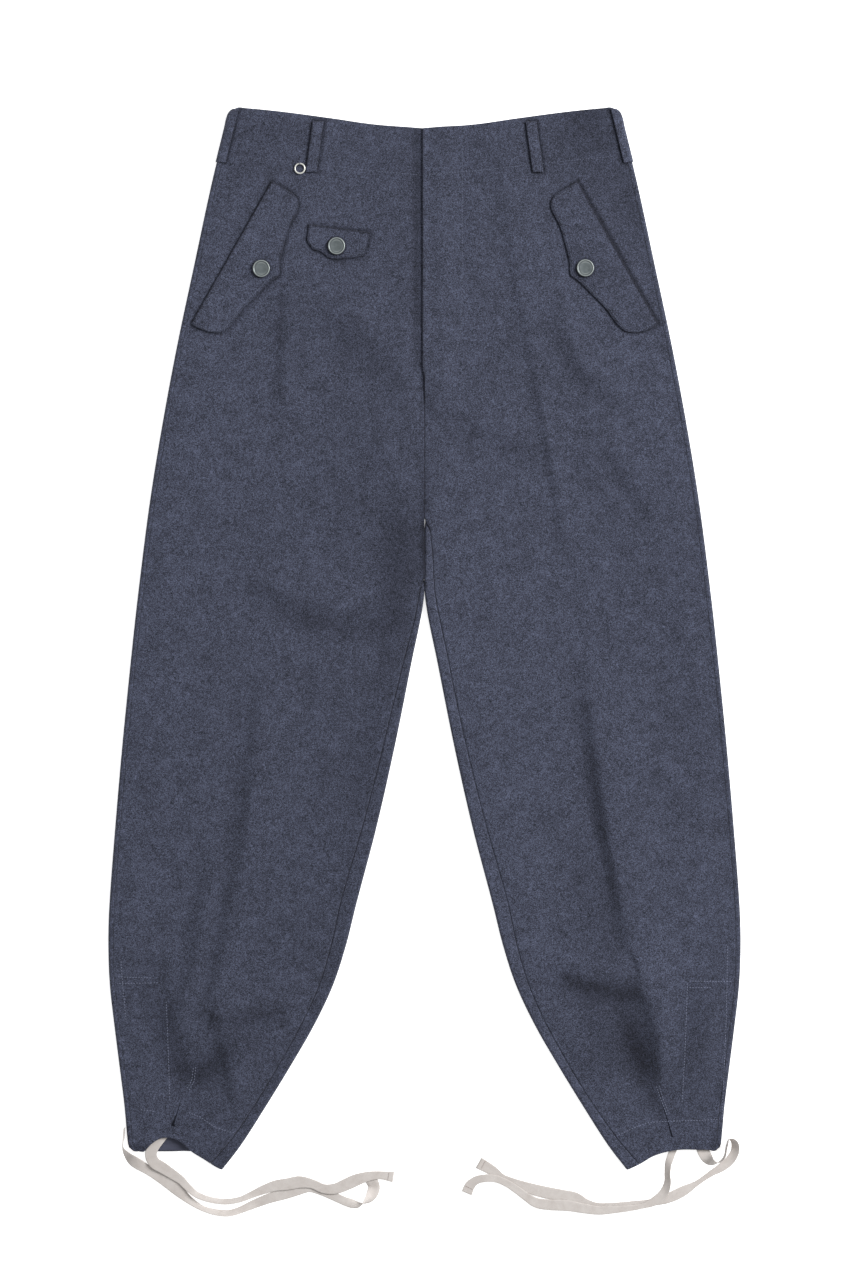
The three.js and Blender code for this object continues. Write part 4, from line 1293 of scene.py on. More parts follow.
@dataclass(frozen=True)
class Flap:
    """A pocket flap sewn along one straight edge, with its depth along that edge."""

    node: str
    panel: FrontPanel
    top: Point
    bottom: Point
    depth: Profile
    cut: Point
    cut_area: float
    button: Point
    button_radius: float = 9.4
    thickness: float = 1.2
    rows: int = 110
    columns: int = 36
    crown: float = 0.5
    crown_reach: float = 7.0
    mean_depth: float = 40.0
    edge_shade: float = 0.45
    seam_shade: float = 0.35
    shade_reach: float = 1.6
    button_shade: float = 0.5
    button_reach: float = 1.3
    outline_steps: int = 40
    stitch_inset: float = 3.2
    stitch_points: tuple[int, int] = (60, 8)

    @property
    def mirrored(self) -> bool:
        """Whether the flap is given for the left leg and lies on the right one."""
        return self.panel.side is Side.RIGHT and self.top[0] > 0

    def outline_point(self, along: Array, out: Array) -> tuple[Array, Array]:
        """Places on the flap.

        Args:
            along: Distances along its straight edge.
            out: Distances out from that edge.

        Returns:
            The x and y of each place.
        """
        top, bottom = np.array(self.top), np.array(self.bottom)
        way = (bottom - top) / np.linalg.norm(bottom - top)
        x = top[0] + way[0] * along + way[1] * out
        y = top[1] + way[1] * along - way[0] * out
        return (-x if self.mirrored else x), y

    def travel(self) -> Array:
        """Distances along the straight edge, closer together at both ends."""
        low, high = self.depth.rows[0][0], self.depth.rows[-1][0]
        return low + near_edges(self.rows, high - low) * (high - low)

    def middle(self) -> tuple[Array, Array, Array]:
        """The flap's middle surface.

        Returns:
            Its grid of points, and each point's distance from the nearest edge and from the straight edge.
        """
        along = self.travel()[:, None]
        depth = self.depth.read(along)
        out = near_edges(self.columns, self.mean_depth)[None, :] * depth
        x, y = self.outline_point(along, out)
        to_edge = np.minimum(np.minimum(out, depth - out), np.minimum(along - along[0], along[-1] - along))
        swell = self.crown * smoothstep(0, self.crown_reach, to_edge)
        z = self.panel.top_at(x, y) + LAY_GAP + self.thickness / 2 + swell
        return np.stack([x, y, z], axis=2), to_edge, out

    def top_at(self, x: Array, y: Array) -> Array:
        """Height of the flap's face."""
        return self.panel.top_at(x, y) + LAY_GAP + self.thickness + self.crown

    def build(self, finishes: Finishes) -> bpy.types.Object:
        """Makes the flap.

        Args:
            finishes: The finishes.

        Returns:
            The flap.
        """
        middle, to_edge, to_straight = self.middle()
        flap = MeshMaker.wall(f"{self.node}_wool", middle, self.thickness, MeshMaker.rounding(to_edge))
        # Painted shade: a ring round the button, the flap's edges and its sewn edge, on top of the leg's
        # painted shade
        from_button = np.hypot(middle[..., 0] - self.button[0], middle[..., 1] - self.button[1])
        under = bell(from_button - self.button_radius, self.button_reach)
        leg_shade = painted_leg_shade(self.panel.side, np.abs(middle[..., 0]) / PAINTED_LEG_SHADE.hip_width, middle[..., 1])
        edges = (self.edge_shade * bell(to_edge, self.shade_reach)
                 + self.seam_shade * bell(to_straight, self.shade_reach))
        store_painted_shade(flap, leg_shade + np.maximum(edges, self.button_shade * under))
        dress(flap, finishes.wool)
        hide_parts(self.node)
        return flap

    def edge_line(self) -> Array:
        """The flap's whole outline.

        Returns:
            Its (x, y) points.
        """
        along = np.linspace(self.depth.rows[0][0], self.depth.rows[-1][0], self.outline_steps)
        out = self.depth.read(along)
        x, y = self.outline_point(np.concatenate([along, along[::-1], along[:1]]),
                                  np.concatenate([out, 0 * out, out[:1]]))
        return np.stack([x, y], axis=1)

    def stitch_line(self) -> Array:
        """Line of the stitches, inset from the three free edges.

        Returns:
            Its points.
        """
        low, high = self.depth.rows[0][0] + self.stitch_inset, self.depth.rows[-1][0] - self.stitch_inset
        long_side, short_side = self.stitch_points
        along = np.linspace(low, high, long_side)
        out = self.depth.read(along) - self.stitch_inset
        first = np.linspace(0, out[0], short_side)[:-1]
        last = np.linspace(out[-1], 0, short_side)[1:]
        along = np.concatenate([np.full(len(first), low), along, np.full(len(last), high)])
        x, y = self.outline_point(along, np.concatenate([first, out, last]))
        return np.stack([x, y, self.top_at(x, y)], axis=1)


@dataclass(frozen=True)
class FrontLoop:
    """A belt loop on a front panel, sewn at both ends and standing off between them."""

    side: Side
    panel: FrontPanel
    top: Point = (111.5, 542.0)
    bottom: Point = (119.0, 488.8)
    width: float = 11.5
    length: float = 54.0
    thickness: float = 1.3
    stand: float = 0.5
    crown: float = 0.35
    sewn_share: float = 0.2
    leg_shade_share: float = 0.6
    edge_shade: float = 0.32
    shade_reach: float = 1.2
    rows: int = 40
    columns: int = 12

    def edge_line(self) -> Array:
        """The loop's outline.

        Returns:
            Its (x, y) points.
        """
        half = self.width / 2
        corners = [(self.top[0] - half, self.top[1]), (self.bottom[0] - half, self.bottom[1]),
                   (self.bottom[0] + half, self.bottom[1]), (self.top[0] + half, self.top[1])]
        return np.array([(x * self.side.value, y) for x, y in corners + corners[:1]])

    def build(self, finishes: Finishes) -> bpy.types.Object:
        """Makes the loop.

        Args:
            finishes: The finishes.

        Returns:
            The loop.
        """
        share = near_edges(self.rows, self.length)[:, None]
        across = near_edges(self.columns, self.width)[None, :]
        x = (self.top[0] + share * (self.bottom[0] - self.top[0])) + (across - 0.5) * self.width
        x = x * self.side.value
        y = self.top[1] + share * (self.bottom[1] - self.top[1]) + 0 * across
        rise = self.stand * smoothstep(0, self.sewn_share, np.minimum(share, 1 - share))
        swell = self.crown * np.sin(np.pi * across)
        z = self.panel.top_at(x, y) + LAY_GAP + self.thickness / 2 + rise + swell
        to_edge = np.minimum(np.minimum(across, 1 - across) * self.width,
                             np.minimum(share, 1 - share) * self.length)
        loop = MeshMaker.wall(f"{self.side.word}_front_loop_wool", np.stack([x, y, z], axis=2),
                              self.thickness, MeshMaker.rounding(to_edge))
        leg_shade = painted_leg_shade(self.side, self.top[0] / PAINTED_LEG_SHADE.hip_width, y)
        # Painted shade: the leg's painted shade, darker round the loop's edges
        store_painted_shade(loop, self.leg_shade_share * leg_shade + self.edge_shade * bell(to_edge, self.shade_reach))
        dress(loop, finishes.wool)
        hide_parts(f"{self.side.word}_front_loop")
        return loop


@dataclass(frozen=True)
class SideLoop:
    """A belt loop over the side edge: flat on the front, then round the fold."""

    side: Side
    top_share: float = 0.0014
    bottom_share: float = 0.0525
    on_front: float = 9.5
    corner_share: float = 0.017
    thickness: float = 1.1
    gap: float = 0.2
    front_lift: float = 0.9
    least_on_front: float = 2.5
    end_inset: float = 1.0
    front_steps: tuple = (0.0, 0.02, 0.07, 0.14, 0.22, 0.45, 0.75)
    leg_shade_share: float = 0.6
    edge_shade: float = 0.3
    shade_reach: float = 1.0
    rows: int = 44
    arc_steps: int = 12
    edge_points: int = 24

    def on_rows(self, share: Array) -> tuple[Rows, Array]:
        """The rows that the loop crosses, and how far it lies on the front of each.

        Args:
            share: Shares of the way down the leg.

        Returns:
            The rows, and the loop's width on the front, less at the waist's round corner.
        """
        rows = LEG.rows(share)
        below = LEG.rows(np.array([self.corner_share, self.bottom_share])).width
        slope = (below[1] - below[0]) / (self.bottom_share - self.corner_share)
        corner = np.maximum(below[0] + slope * (share - self.corner_share) - rows.width, 0.0)
        return rows, np.maximum(self.on_front - corner, self.least_on_front)

    def edge_line(self) -> Array:
        """The loop's inner edge and its lower end on the front.

        Returns:
            Their (x, y) points.
        """
        share = np.linspace(self.top_share, self.bottom_share, self.edge_points)
        rows, on_front = self.on_rows(share)
        x, y = LEG.place(rows, rows.width - on_front, HEM_RISE[Side.LEFT])
        end = LEG.rows(share[-1:])
        end_x, end_y = LEG.place(end, end.width - self.end_inset, HEM_RISE[Side.LEFT])
        return np.stack([np.append(x, end_x) * self.side.value, np.append(y, end_y)], axis=1)

    def build(self, finishes: Finishes) -> bpy.types.Object:
        """Makes the loop.

        Args:
            finishes: The finishes.

        Returns:
            The loop.
        """
        length = (self.bottom_share - self.top_share) * LEG.length
        travel = near_edges(self.rows, length)[:, None]
        rows, on_front = self.on_rows(self.top_share + travel * (self.bottom_share - self.top_share))
        edge = FOLD_RADIUS + HALF
        reach = edge + self.gap + self.thickness / 2
        parts_d, parts_z = [], []
        for step in self.front_steps:
            parts_d.append(rows.width - on_front + step * (on_front - edge))
            height = FLOOR_MID + FOLD_RADIUS + reach + self.front_lift * (1 - step)
            parts_z.append(np.full_like(rows.width, height))
        for step in range(self.arc_steps + 1):
            angle = math.pi / 2 * (1 - step / self.arc_steps)
            parts_d.append(rows.width - edge + reach * math.cos(angle))
            parts_z.append(np.full_like(rows.width, FLOOR_MID + FOLD_RADIUS + reach * math.sin(angle)))
        distance, z = np.concatenate(parts_d, axis=1), np.concatenate(parts_z, axis=1)
        x, y = LEG.place(rows, distance, HEM_RISE[Side.LEFT])
        middle = np.stack([x * self.side.value, y, z], axis=2)
        along = np.cumsum(np.hypot(np.diff(distance, axis=1), np.diff(z, axis=1)), axis=1)
        along = np.concatenate([np.zeros((len(travel), 1)), along], axis=1)
        to_edge = np.minimum(np.minimum(along, along[:, -1:] - along),
                             np.minimum(travel, 1 - travel) * length)
        loop = MeshMaker.wall(f"{self.side.word}_side_loop_wool", middle, self.thickness,
                              MeshMaker.rounding(to_edge))
        leg_shade = painted_leg_shade(self.side, 1.0, y)
        # Painted shade: the leg's painted shade, darker round the loop's edges
        store_painted_shade(loop, self.leg_shade_share * leg_shade + self.edge_shade * bell(to_edge, self.shade_reach))
        dress(loop, finishes.wool)
        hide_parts(f"{self.side.word}_side_loop")
        return loop


@dataclass(frozen=True)
class CuffFacing:
    """Smooth facing on the inside of the right cuff's back layer."""

    from_share: float = 0.24
    to_share: float = 0.86
    depth: float = 30.0
    hem_inset: float = 1.2
    width: float = 58.0
    thickness: float = 1.0
    rows: int = 16
    columns: int = 40

    def build(self, finishes: Finishes) -> bpy.types.Object:
        """Makes the facing.

        Args:
            finishes: The finishes.

        Returns:
            The facing.
        """
        hem = LEG.rows(np.array([[1.0]]))
        across = near_edges(self.columns, self.width)[None, :]
        share = self.from_share + across * (self.to_share - self.from_share)
        x, y = LEG.place(hem, share * hem.width, BACK_HEM_RISE[Side.RIGHT])
        up = near_edges(self.rows, self.depth)[:, None]
        travel = self.hem_inset + up * (self.depth - self.hem_inset)
        x = x + 0 * travel
        y = y + travel
        z = np.full_like(x, CLOTH + LAY_GAP + self.thickness / 2)
        to_edge = np.minimum(np.minimum(across, 1 - across) * self.width,
                             np.minimum(up, 1 - up) * self.depth)
        facing = MeshMaker.wall("right_cuff_facing_cloth", np.stack([-x, y, z], axis=2),
                                self.thickness, MeshMaker.rounding(to_edge))
        dress(facing, finishes.facing)
        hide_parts("right_cuff_facing")
        return facing


@dataclass(frozen=True)
class Button:
    """A dished metal button on a short shank."""

    node: str
    flap: Flap
    radius: float = 9.1
    shank: float = 0.8
    shank_radius: float = 2.6
    gap: float = 0.1
    segments: int = 72

    def build(self, finishes: Finishes) -> bpy.types.Object:
        """Makes the button.

        Args:
            finishes: The finishes.

        Returns:
            The button.
        """
        r, s = self.radius, self.shank
        profile = [
            (0, 0), (self.shank_radius, 0), (self.shank_radius, s), (r - 1.2, s), (r - 0.3, s + 0.35),
            (r, s + 0.9), (r - 0.08, s + 1.5), (r - 0.4, s + 2.0), (r - 0.85, s + 2.25),
            (r - 1.3, s + 2.15), (r - 1.75, s + 1.65), (r - 2.1, s + 1.4), (r - 2.5, s + 1.55),
            (r - 3.1, s + 1.6), (r - 3.9, s + 1.45), (r - 5.5, s + 1.3), (1.4, s + 1.25), (0, s + 1.25),
        ]
        x, y = self.flap.button
        foot = float(self.flap.top_at(np.array([x]), np.array([y]))[0]) + self.gap
        button = MeshMaker.lathe(f"{self.node}_metal", profile, (x, y, foot), self.segments)
        spots = np.empty(3 * len(button.data.vertices))
        button.data.vertices.foreach_get("co", spots)
        out = np.hypot(spots[0::3] / MM - x, spots[1::3] / MM - y)
        upright = np.abs(spots[1::3] / MM - y) / np.maximum(out, 0.1)
        # Painted highlight on the rim and painted reflection on two sides of the dish; painted shade in the
        # groove and under the rim's edge
        rim_highlight, dish_reflection = bell(out - r + 0.75, 0.5), upright**4 * bell(out - r + 2.8, 0.45)
        groove_shade, rim_edge_shade = bell(out - r + 1.9, 0.35), smoothstep(r - 0.25, r, out)
        store(button, "painted_rim_highlight", 0.85 * rim_highlight + 0.6 * dish_reflection)
        store(button, "painted_rim_shade", 0.5 * groove_shade + 0.9 * rim_edge_shade)
        dress(button, finishes.button)
        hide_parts(self.node)
        return button


@dataclass(frozen=True)
class WatchRing:
    """A small wire ring that hangs from a thread at its top."""

    x: float = -130.7
    hinge_y: float = 497.9
    mean_radius: float = 5.1
    wire: float = 0.8
    segments: int = 72
    sides: int = 16
    thread: float = 0.4
    clearance: float = 0.35
    sweep: float = 236.0
    thread_steps: int = 25
    thread_sides: int = 12

    @property
    def hinge_height(self) -> float:
        """Height of the wire's middle at the hinge, from the model's own ring."""
        low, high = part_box("watch_ring")
        return (low[2] + high[2]) / 2 / MM

    def build(self, finishes: Finishes) -> None:
        """Makes the ring and its thread.

        Args:
            finishes: The finishes.
        """
        height = self.hinge_height
        turn = np.linspace(0, 2 * np.pi, self.segments, endpoint=False)
        round_wire = np.linspace(0, 2 * np.pi, self.sides, endpoint=False)
        radius = self.mean_radius + self.wire * np.cos(round_wire)[None, :]
        x = self.x + radius * np.cos(turn)[:, None]
        y = self.hinge_y - self.mean_radius + radius * np.sin(turn)[:, None]
        z = height + self.wire * np.sin(round_wire)[None, :] + 0 * x
        number = np.arange(self.segments * self.sides).reshape(self.segments, self.sides)
        after, up = np.roll(number, -1, axis=0), np.roll(number, -1, axis=1)
        faces = np.stack([number, after, np.roll(after, -1, axis=1), up], 2).reshape(-1, 4)
        points = np.stack([x, y, z], axis=2).reshape(-1, 3)
        ring = MeshMaker.piece("watch_ring_wire", points, faces.tolist())
        dress(ring, finishes.ring, RING_BODY)
        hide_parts("watch_ring")
        arch = self.wire + self.clearance + self.thread
        half = math.radians(self.sweep / 2)
        angles = math.pi / 2 + np.linspace(-half, half, self.thread_steps)
        rings = []
        for angle in angles:
            out = np.array([0, math.cos(angle), math.sin(angle)])
            centre = np.array([self.x, self.hinge_y, height]) + arch * out
            rings.append([
                centre + self.thread * (math.cos(a) * np.array([1, 0, 0]) + math.sin(a) * out)
                for a in np.linspace(0, 2 * np.pi, self.thread_sides, endpoint=False)
            ])
        tack = MeshMaker.tube("ring_tack_thread", np.array(rings))
        dress(tack, finishes.thread)
        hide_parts("ring_tack")


@dataclass(frozen=True)
class Tape:
    """A free end of an ankle tape, along its route of (x, y, z, tilt in degrees) rows."""

    node: str
    length: float
    route: tuple
    spread: tuple
    width: float = 12.5
    thickness: float = 0.8
    steps: int = 260
    end_hem: float = 6.5
    hem_reach: float = 0.44
    hem_points: int = 9
    hem_lift: float = 0.12
    hem_pitch: float = 1.35
    hem_stitch: float = 1.1
    hem_thread: float = 0.16

    def line(self) -> tuple[Array, Array]:
        """The smooth middle line through the route.

        Returns:
            Its points in millimetres, and the tilt along it in degrees.
        """
        rows = np.array(self.route, dtype=float)
        padded = np.concatenate([2 * rows[:1] - rows[1:2], rows, 2 * rows[-1:] - rows[-2:-1]])
        place = np.linspace(0, len(rows) - 1, self.steps + 1)
        low = np.minimum(place.astype(int), len(rows) - 2)
        t = (place - low)[:, None]
        a, b, c, d = (padded[low + k] for k in range(4))
        smooth = 0.5 * (2 * b + (c - a) * t + (2 * a - 5 * b + 4 * c - d) * t**2
                        + (3 * b - a - 3 * c + d) * t**3)
        return smooth[:, :3], smooth[:, 3]

    def frames(self) -> tuple[Array, Array, Array]:
        """How the tape lies along its middle line.

        Returns:
            The line, the way across the tape and the way out of its face.
        """
        line, tilt = self.line()
        forward = np.gradient(line, axis=0)
        forward[:, 2] = 0
        forward /= np.linalg.norm(forward, axis=1, keepdims=True)
        level = np.stack([-forward[:, 1], forward[:, 0], 0 * tilt], axis=1)
        turn = np.radians(tilt)[:, None]
        upright = np.array([[0.0, 0.0, 1.0]])
        across = level * np.cos(turn) + upright * np.sin(turn)
        out = -level * np.sin(turn) + upright * np.cos(turn)
        return line, across, out

    def build(self, finishes: Finishes) -> bpy.types.Object:
        """Makes the tape and the thread across its hemmed end.

        Args:
            finishes: The finishes.

        Returns:
            The tape.
        """
        line, across, out = self.frames()
        spread = Profile(tuple(enumerate(self.spread)))
        across = across * spread.read(np.linspace(0, len(self.route) - 1, len(line)))[:, None]
        w, t = self.width / 2, self.thickness / 2
        section = [(w, -0.4 * t), (w, 0.4 * t), (0.95 * w, 0.9 * t), (0.8 * w, t), (0.4 * w, 0.9 * t),
                   (0, 0.86 * t), (-0.4 * w, 0.9 * t), (-0.8 * w, t), (-0.95 * w, 0.9 * t),
                   (-w, 0.4 * t), (-w, -0.4 * t), (-0.95 * w, -0.9 * t), (-0.4 * w, -t),
                   (0, -t), (0.4 * w, -t), (0.95 * w, -0.9 * t)]
        rings = np.stack([line + a * across + b * out for a, b in section], axis=1)
        tape = MeshMaker.tube(f"{self.node}_cotton", rings)
        dress(tape, finishes.tape)
        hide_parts(self.node)
        gone = np.concatenate([[0], np.cumsum(np.linalg.norm(np.diff(line, axis=0), axis=1))])
        at = int(np.searchsorted(gone, gone[-1] - self.end_hem))
        spots = [line[at] + share * self.width * across[at] + (t + self.hem_lift) * out[at]
                 for share in np.linspace(-self.hem_reach, self.hem_reach, self.hem_points)]
        thread = Sewing.stitches(f"{self.node}_hem_thread", [np.array(spots)],
                                 self.hem_pitch, self.hem_stitch, self.hem_thread)
        dress(thread, finishes.tape_thread)
        LOG.info("%s: %.4f m long", self.node, gone[-1] * MM)
        return tape


class Sewing:
    """Stitches as small threads that dip into the cloth at both ends."""

    SIDES = 6
    # Rings of one stitch: share of its length, share of its full thickness, and lift in thread radii
    BOW = ((-0.5, 0.35, -0.6), (-0.36, 0.85, 0.2), (0.0, 1.0, 0.55), (0.36, 0.85, 0.2), (0.5, 0.35, -0.6))

    @staticmethod
    def stitches(name: str, lines: list[Array], pitch: float, length: float,
                 thread: float) -> bpy.types.Object:
        """Makes rows of stitches as one piece.

        Args:
            name: Name of the piece.
            lines: Each row's points, in millimetres, on the cloth's face.
            pitch: Distance from stitch to stitch.
            length: Length of a stitch.
            thread: Radius of the thread.

        Returns:
            The piece.
        """
        points, faces, first = [], [], 0
        turn = np.linspace(0, 2 * np.pi, Sewing.SIDES, endpoint=False)
        for row in lines:
            gone = np.concatenate([[0], np.cumsum(np.linalg.norm(np.diff(row, axis=0), axis=1))])
            for start in np.arange(pitch / 2, gone[-1] - pitch / 2, pitch):
                ends = [np.array([np.interp(start + k * length, gone, row[:, axis]) for axis in range(3)])
                        for k in (-0.5, 0.5)]
                way = (ends[1] - ends[0]) / max(np.linalg.norm(ends[1] - ends[0]), 1e-6)
                middle = (ends[0] + ends[1]) / 2
                side = np.cross(way, (0, 0, 1))
                side /= max(np.linalg.norm(side), 1e-6)
                rings = np.array([
                    [middle + way * along * length + (0, 0, thread * lift)
                     + thread * fat * (side * math.cos(a) + np.array([0, 0, math.sin(a)])) for a in turn]
                    for along, fat, lift in Sewing.BOW
                ])
                part, part_faces = MeshMaker.tube_parts(rings, first)
                points.append(part)
                faces.extend(part_faces)
                first += len(part)
        return MeshMaker.piece(name, np.concatenate(points), faces)


@dataclass(frozen=True)
class DartMouth:
    """A dark sheet lying in the open mouth below an ankle dart, a painted shadow, as (x, y, width) rows down
    to its end.
    """

    panel: FrontPanel
    rows: tuple
    lift: float = 0.1
    thickness: float = 0.4
    edge_round: float = 0.2
    steps_to_row: int = 6
    across_shares: tuple = (-0.5, -0.3, 0.0, 0.3, 0.5)

    def build(self, finishes: Finishes) -> bpy.types.Object:
        """Makes the dark sheet that shows in the mouth: a painted shadow.

        Args:
            finishes: The finishes.

        Returns:
            The tuck.
        """
        rows = np.array(self.rows, dtype=float)
        along = np.linspace(0, len(rows) - 1, self.steps_to_row * len(rows))
        line, width = (np.stack([np.interp(along, range(len(rows)), rows[:, k]) for k in keys], 1)
                       for keys in ((0, 1), (2,)))
        way = np.gradient(line, axis=0)
        way /= np.linalg.norm(way, axis=1, keepdims=True)
        across = np.stack([-way[:, 1], way[:, 0]], axis=1)
        share = np.array(self.across_shares)
        x, y = (line[:, k, None] + across[:, k, None] * share[None, :] * width for k in (0, 1))
        z = self.panel.top_at(x, y) + self.lift - self.thickness / 2
        to_edge = (0.5 - np.abs(share))[None, :] * width
        name = f"{self.panel.side.word}_dart_mouth_painted_shadow"
        tuck = MeshMaker.wall(name, np.stack([x, y, z], axis=2), self.thickness,
                              MeshMaker.rounding(to_edge, self.edge_round))
        dress(tuck, finishes.tuck)
        return tuck


@dataclass(frozen=True)
class PanelSewing:
    """The machine stitching that shows on the front panels."""

    panels: dict
    pitch: float = 3.0
    stitch: float = 1.75
    thread: float = 0.28
    waist_share: float = 0.0455
    waist_points: int = 60
    waist_insets: Point = (4.0, 16.0)

    def on_panel(self, side: Side, points: list[Point], count: int = 40) -> Array:
        """A line of places laid on a panel's face.

        Args:
            side: The panel's side.
            points: Corner places (x, y).
            count: Points on the finished line.

        Returns:
            The line's points.
        """
        places = np.array(points, dtype=float)
        gone = np.concatenate([[0], np.cumsum(np.linalg.norm(np.diff(places, axis=0), axis=1))])
        even = np.linspace(0, gone[-1], count)
        x, y = (np.interp(even, gone, places[:, axis]) for axis in range(2))
        return np.stack([x, y, self.panels[side].top_at(x, y)], axis=1)

    def waist_line(self, side: Side) -> Array:
        """The line that holds the waist facing, a loop's length below the top edge.

        Args:
            side: The panel's side.

        Returns:
            The line's points.
        """
        rows = LEG.rows(np.full(self.waist_points, self.waist_share))
        inner, outer = self.waist_insets
        distance = np.linspace(inner, rows.width[0] - outer, self.waist_points)
        x, y = LEG.place(rows, distance, HEM_RISE[Side.LEFT])
        return np.stack([x * side.value, y, self.panels[side].top_at(x, y)], axis=1)

    def build(self, finishes: Finishes, flaps: list[Flap]) -> None:
        """Makes all the rows.

        Args:
            finishes: The finishes.
            flaps: The flaps that are stitched round.
        """
        left, right = Side.LEFT, Side.RIGHT
        groups = {
            "waist_facing_stitches": [self.waist_line(left), self.waist_line(right)],
            "fly_stitches": [
                self.on_panel(left, [(39.4, 518), (39.6, 420), (39, 330), (35, 306), (24, 288), (6, 277)]),
            ],
            "right_cuff_stitches": [
                self.on_panel(right, [(-322, -355), (-284, -356)]),
                self.on_panel(right, [(-321, -362), (-278, -361)]),
                self.on_panel(right, [(-271, -380), (-269, -430), (-267, -485)]),
                self.on_panel(right, [(-298, -494), (-283, -496)]),
                self.on_panel(right, [(-248, -497), (-235, -502), (-219, -513), (-199, -519)]),
                self.on_panel(right, [(-240, -449), (-241.5, -464), (-248, -476)]),
                self.on_panel(right, [(-242.5, -450), (-244, -463), (-250, -474)]),
                self.on_panel(right, [(-318.5, -338), (-316.5, -366), (-313, -402)]),
            ],
            "left_cuff_stitches": [
                self.on_panel(left, [(277, -359), (323, -360)]),
                self.on_panel(left, [(277, -366), (302, -366)]),
                self.on_panel(left, [(275.8, -361), (273, -430), (270, -488)]),
                self.on_panel(left, [(318, -322), (316.5, -400), (312, -505)]),
                self.on_panel(left, [(203, -521), (218, -514), (233, -508), (250, -506.5),
                                     (311, -504.5)], 60),
                self.on_panel(left, [(243, -469), (248, -484), (254.5, -500)]),
                self.on_panel(left, [(245.5, -468), (250.5, -483), (257, -499)]),
            ],
            "flap_stitches": [flap.stitch_line() for flap in flaps],
        }
        for name, lines in groups.items():
            piece = Sewing.stitches(name, lines, self.pitch, self.stitch, self.thread)
            dress(piece, finishes.cuff_thread if "cuff" in name else finishes.thread)


@dataclass(frozen=True)
class Studio:
    """Pale floor, soft light and the camera straight above."""

    pixel: float = 1.05
    frame_height: int = 1279
    centre: Point = (0.5, -1.05)
    lens: float = 85.0
    sensor: float = 36.0
    aim_height: float = 0.004
    far_limit: float = 20.0
    floor_size: float = 8.0
    floor_drop: float = 0.0004
    floor_glow: float = 0.62
    sky_strength: float = 0.6
    key_place: tuple = (3.2, 1.6, 2.5)
    key_size: float = 2.0
    key_watts: float = 300.0

    def build(self) -> None:
        """Makes the floor, the lights and the camera."""
        bpy.ops.mesh.primitive_plane_add(size=self.floor_size, location=(0, 0, -self.floor_drop))
        floor = bpy.context.object
        floor.name = "pale_floor"
        graph = Graph("pale_floor_paper")
        colour = graph.ramp(graph.noise(3, 2), [(0.3, (249, 249, 249)), (0.7, (252, 252, 252))])
        graph.link(colour, graph.shader.inputs["Base Color"])
        floor.data.materials.append(graph.finish(
            Roughness=0.9, Specular_IOR_Level=0.1, Emission_Color=(1, 1, 1, 1),
            Emission_Strength=self.floor_glow))
        world = bpy.data.worlds.new("studio_light")
        world.use_nodes = True
        sky = world.node_tree.nodes["Background"]
        sky.inputs["Color"].default_value = (1, 1, 1, 1)
        sky.inputs["Strength"].default_value = self.sky_strength
        bpy.context.scene.world = world
        self.lamp("key_light", self.key_place, self.key_size, self.key_watts)
        distance = self.frame_height * self.pixel * self.lens / self.sensor * MM
        camera = bpy.data.cameras.new("overhead_camera")
        camera.lens = self.lens
        camera.sensor_width = self.sensor
        camera.sensor_fit = "AUTO"
        camera.clip_end = self.far_limit
        holder = bpy.data.objects.new("overhead_camera", camera)
        holder.location = (self.centre[0] * MM, self.centre[1] * MM, distance + self.aim_height)
        bpy.context.scene.collection.objects.link(holder)
        bpy.context.scene.camera = holder
        bpy.context.scene.view_settings.view_transform = "Standard"

    @staticmethod
    def lamp(name: str, place: tuple, size: float, watts: float) -> None:
        """Adds a square soft light that looks at the middle of the floor.

        Args:
            name: The light's name.
            place: Its place in metres.
            size: Its side in metres.
            watts: Its power.
        """
        light = bpy.data.lights.new(name, "AREA")
        light.size = size
        light.energy = watts
        holder = bpy.data.objects.new(name, light)
        holder.location = place
        flat = math.hypot(place[0], place[1])
        turn = math.atan2(place[1], place[0]) + math.pi / 2
        holder.rotation_euler = (math.atan2(flat, place[2]), 0, turn)
        bpy.context.scene.collection.objects.link(holder)


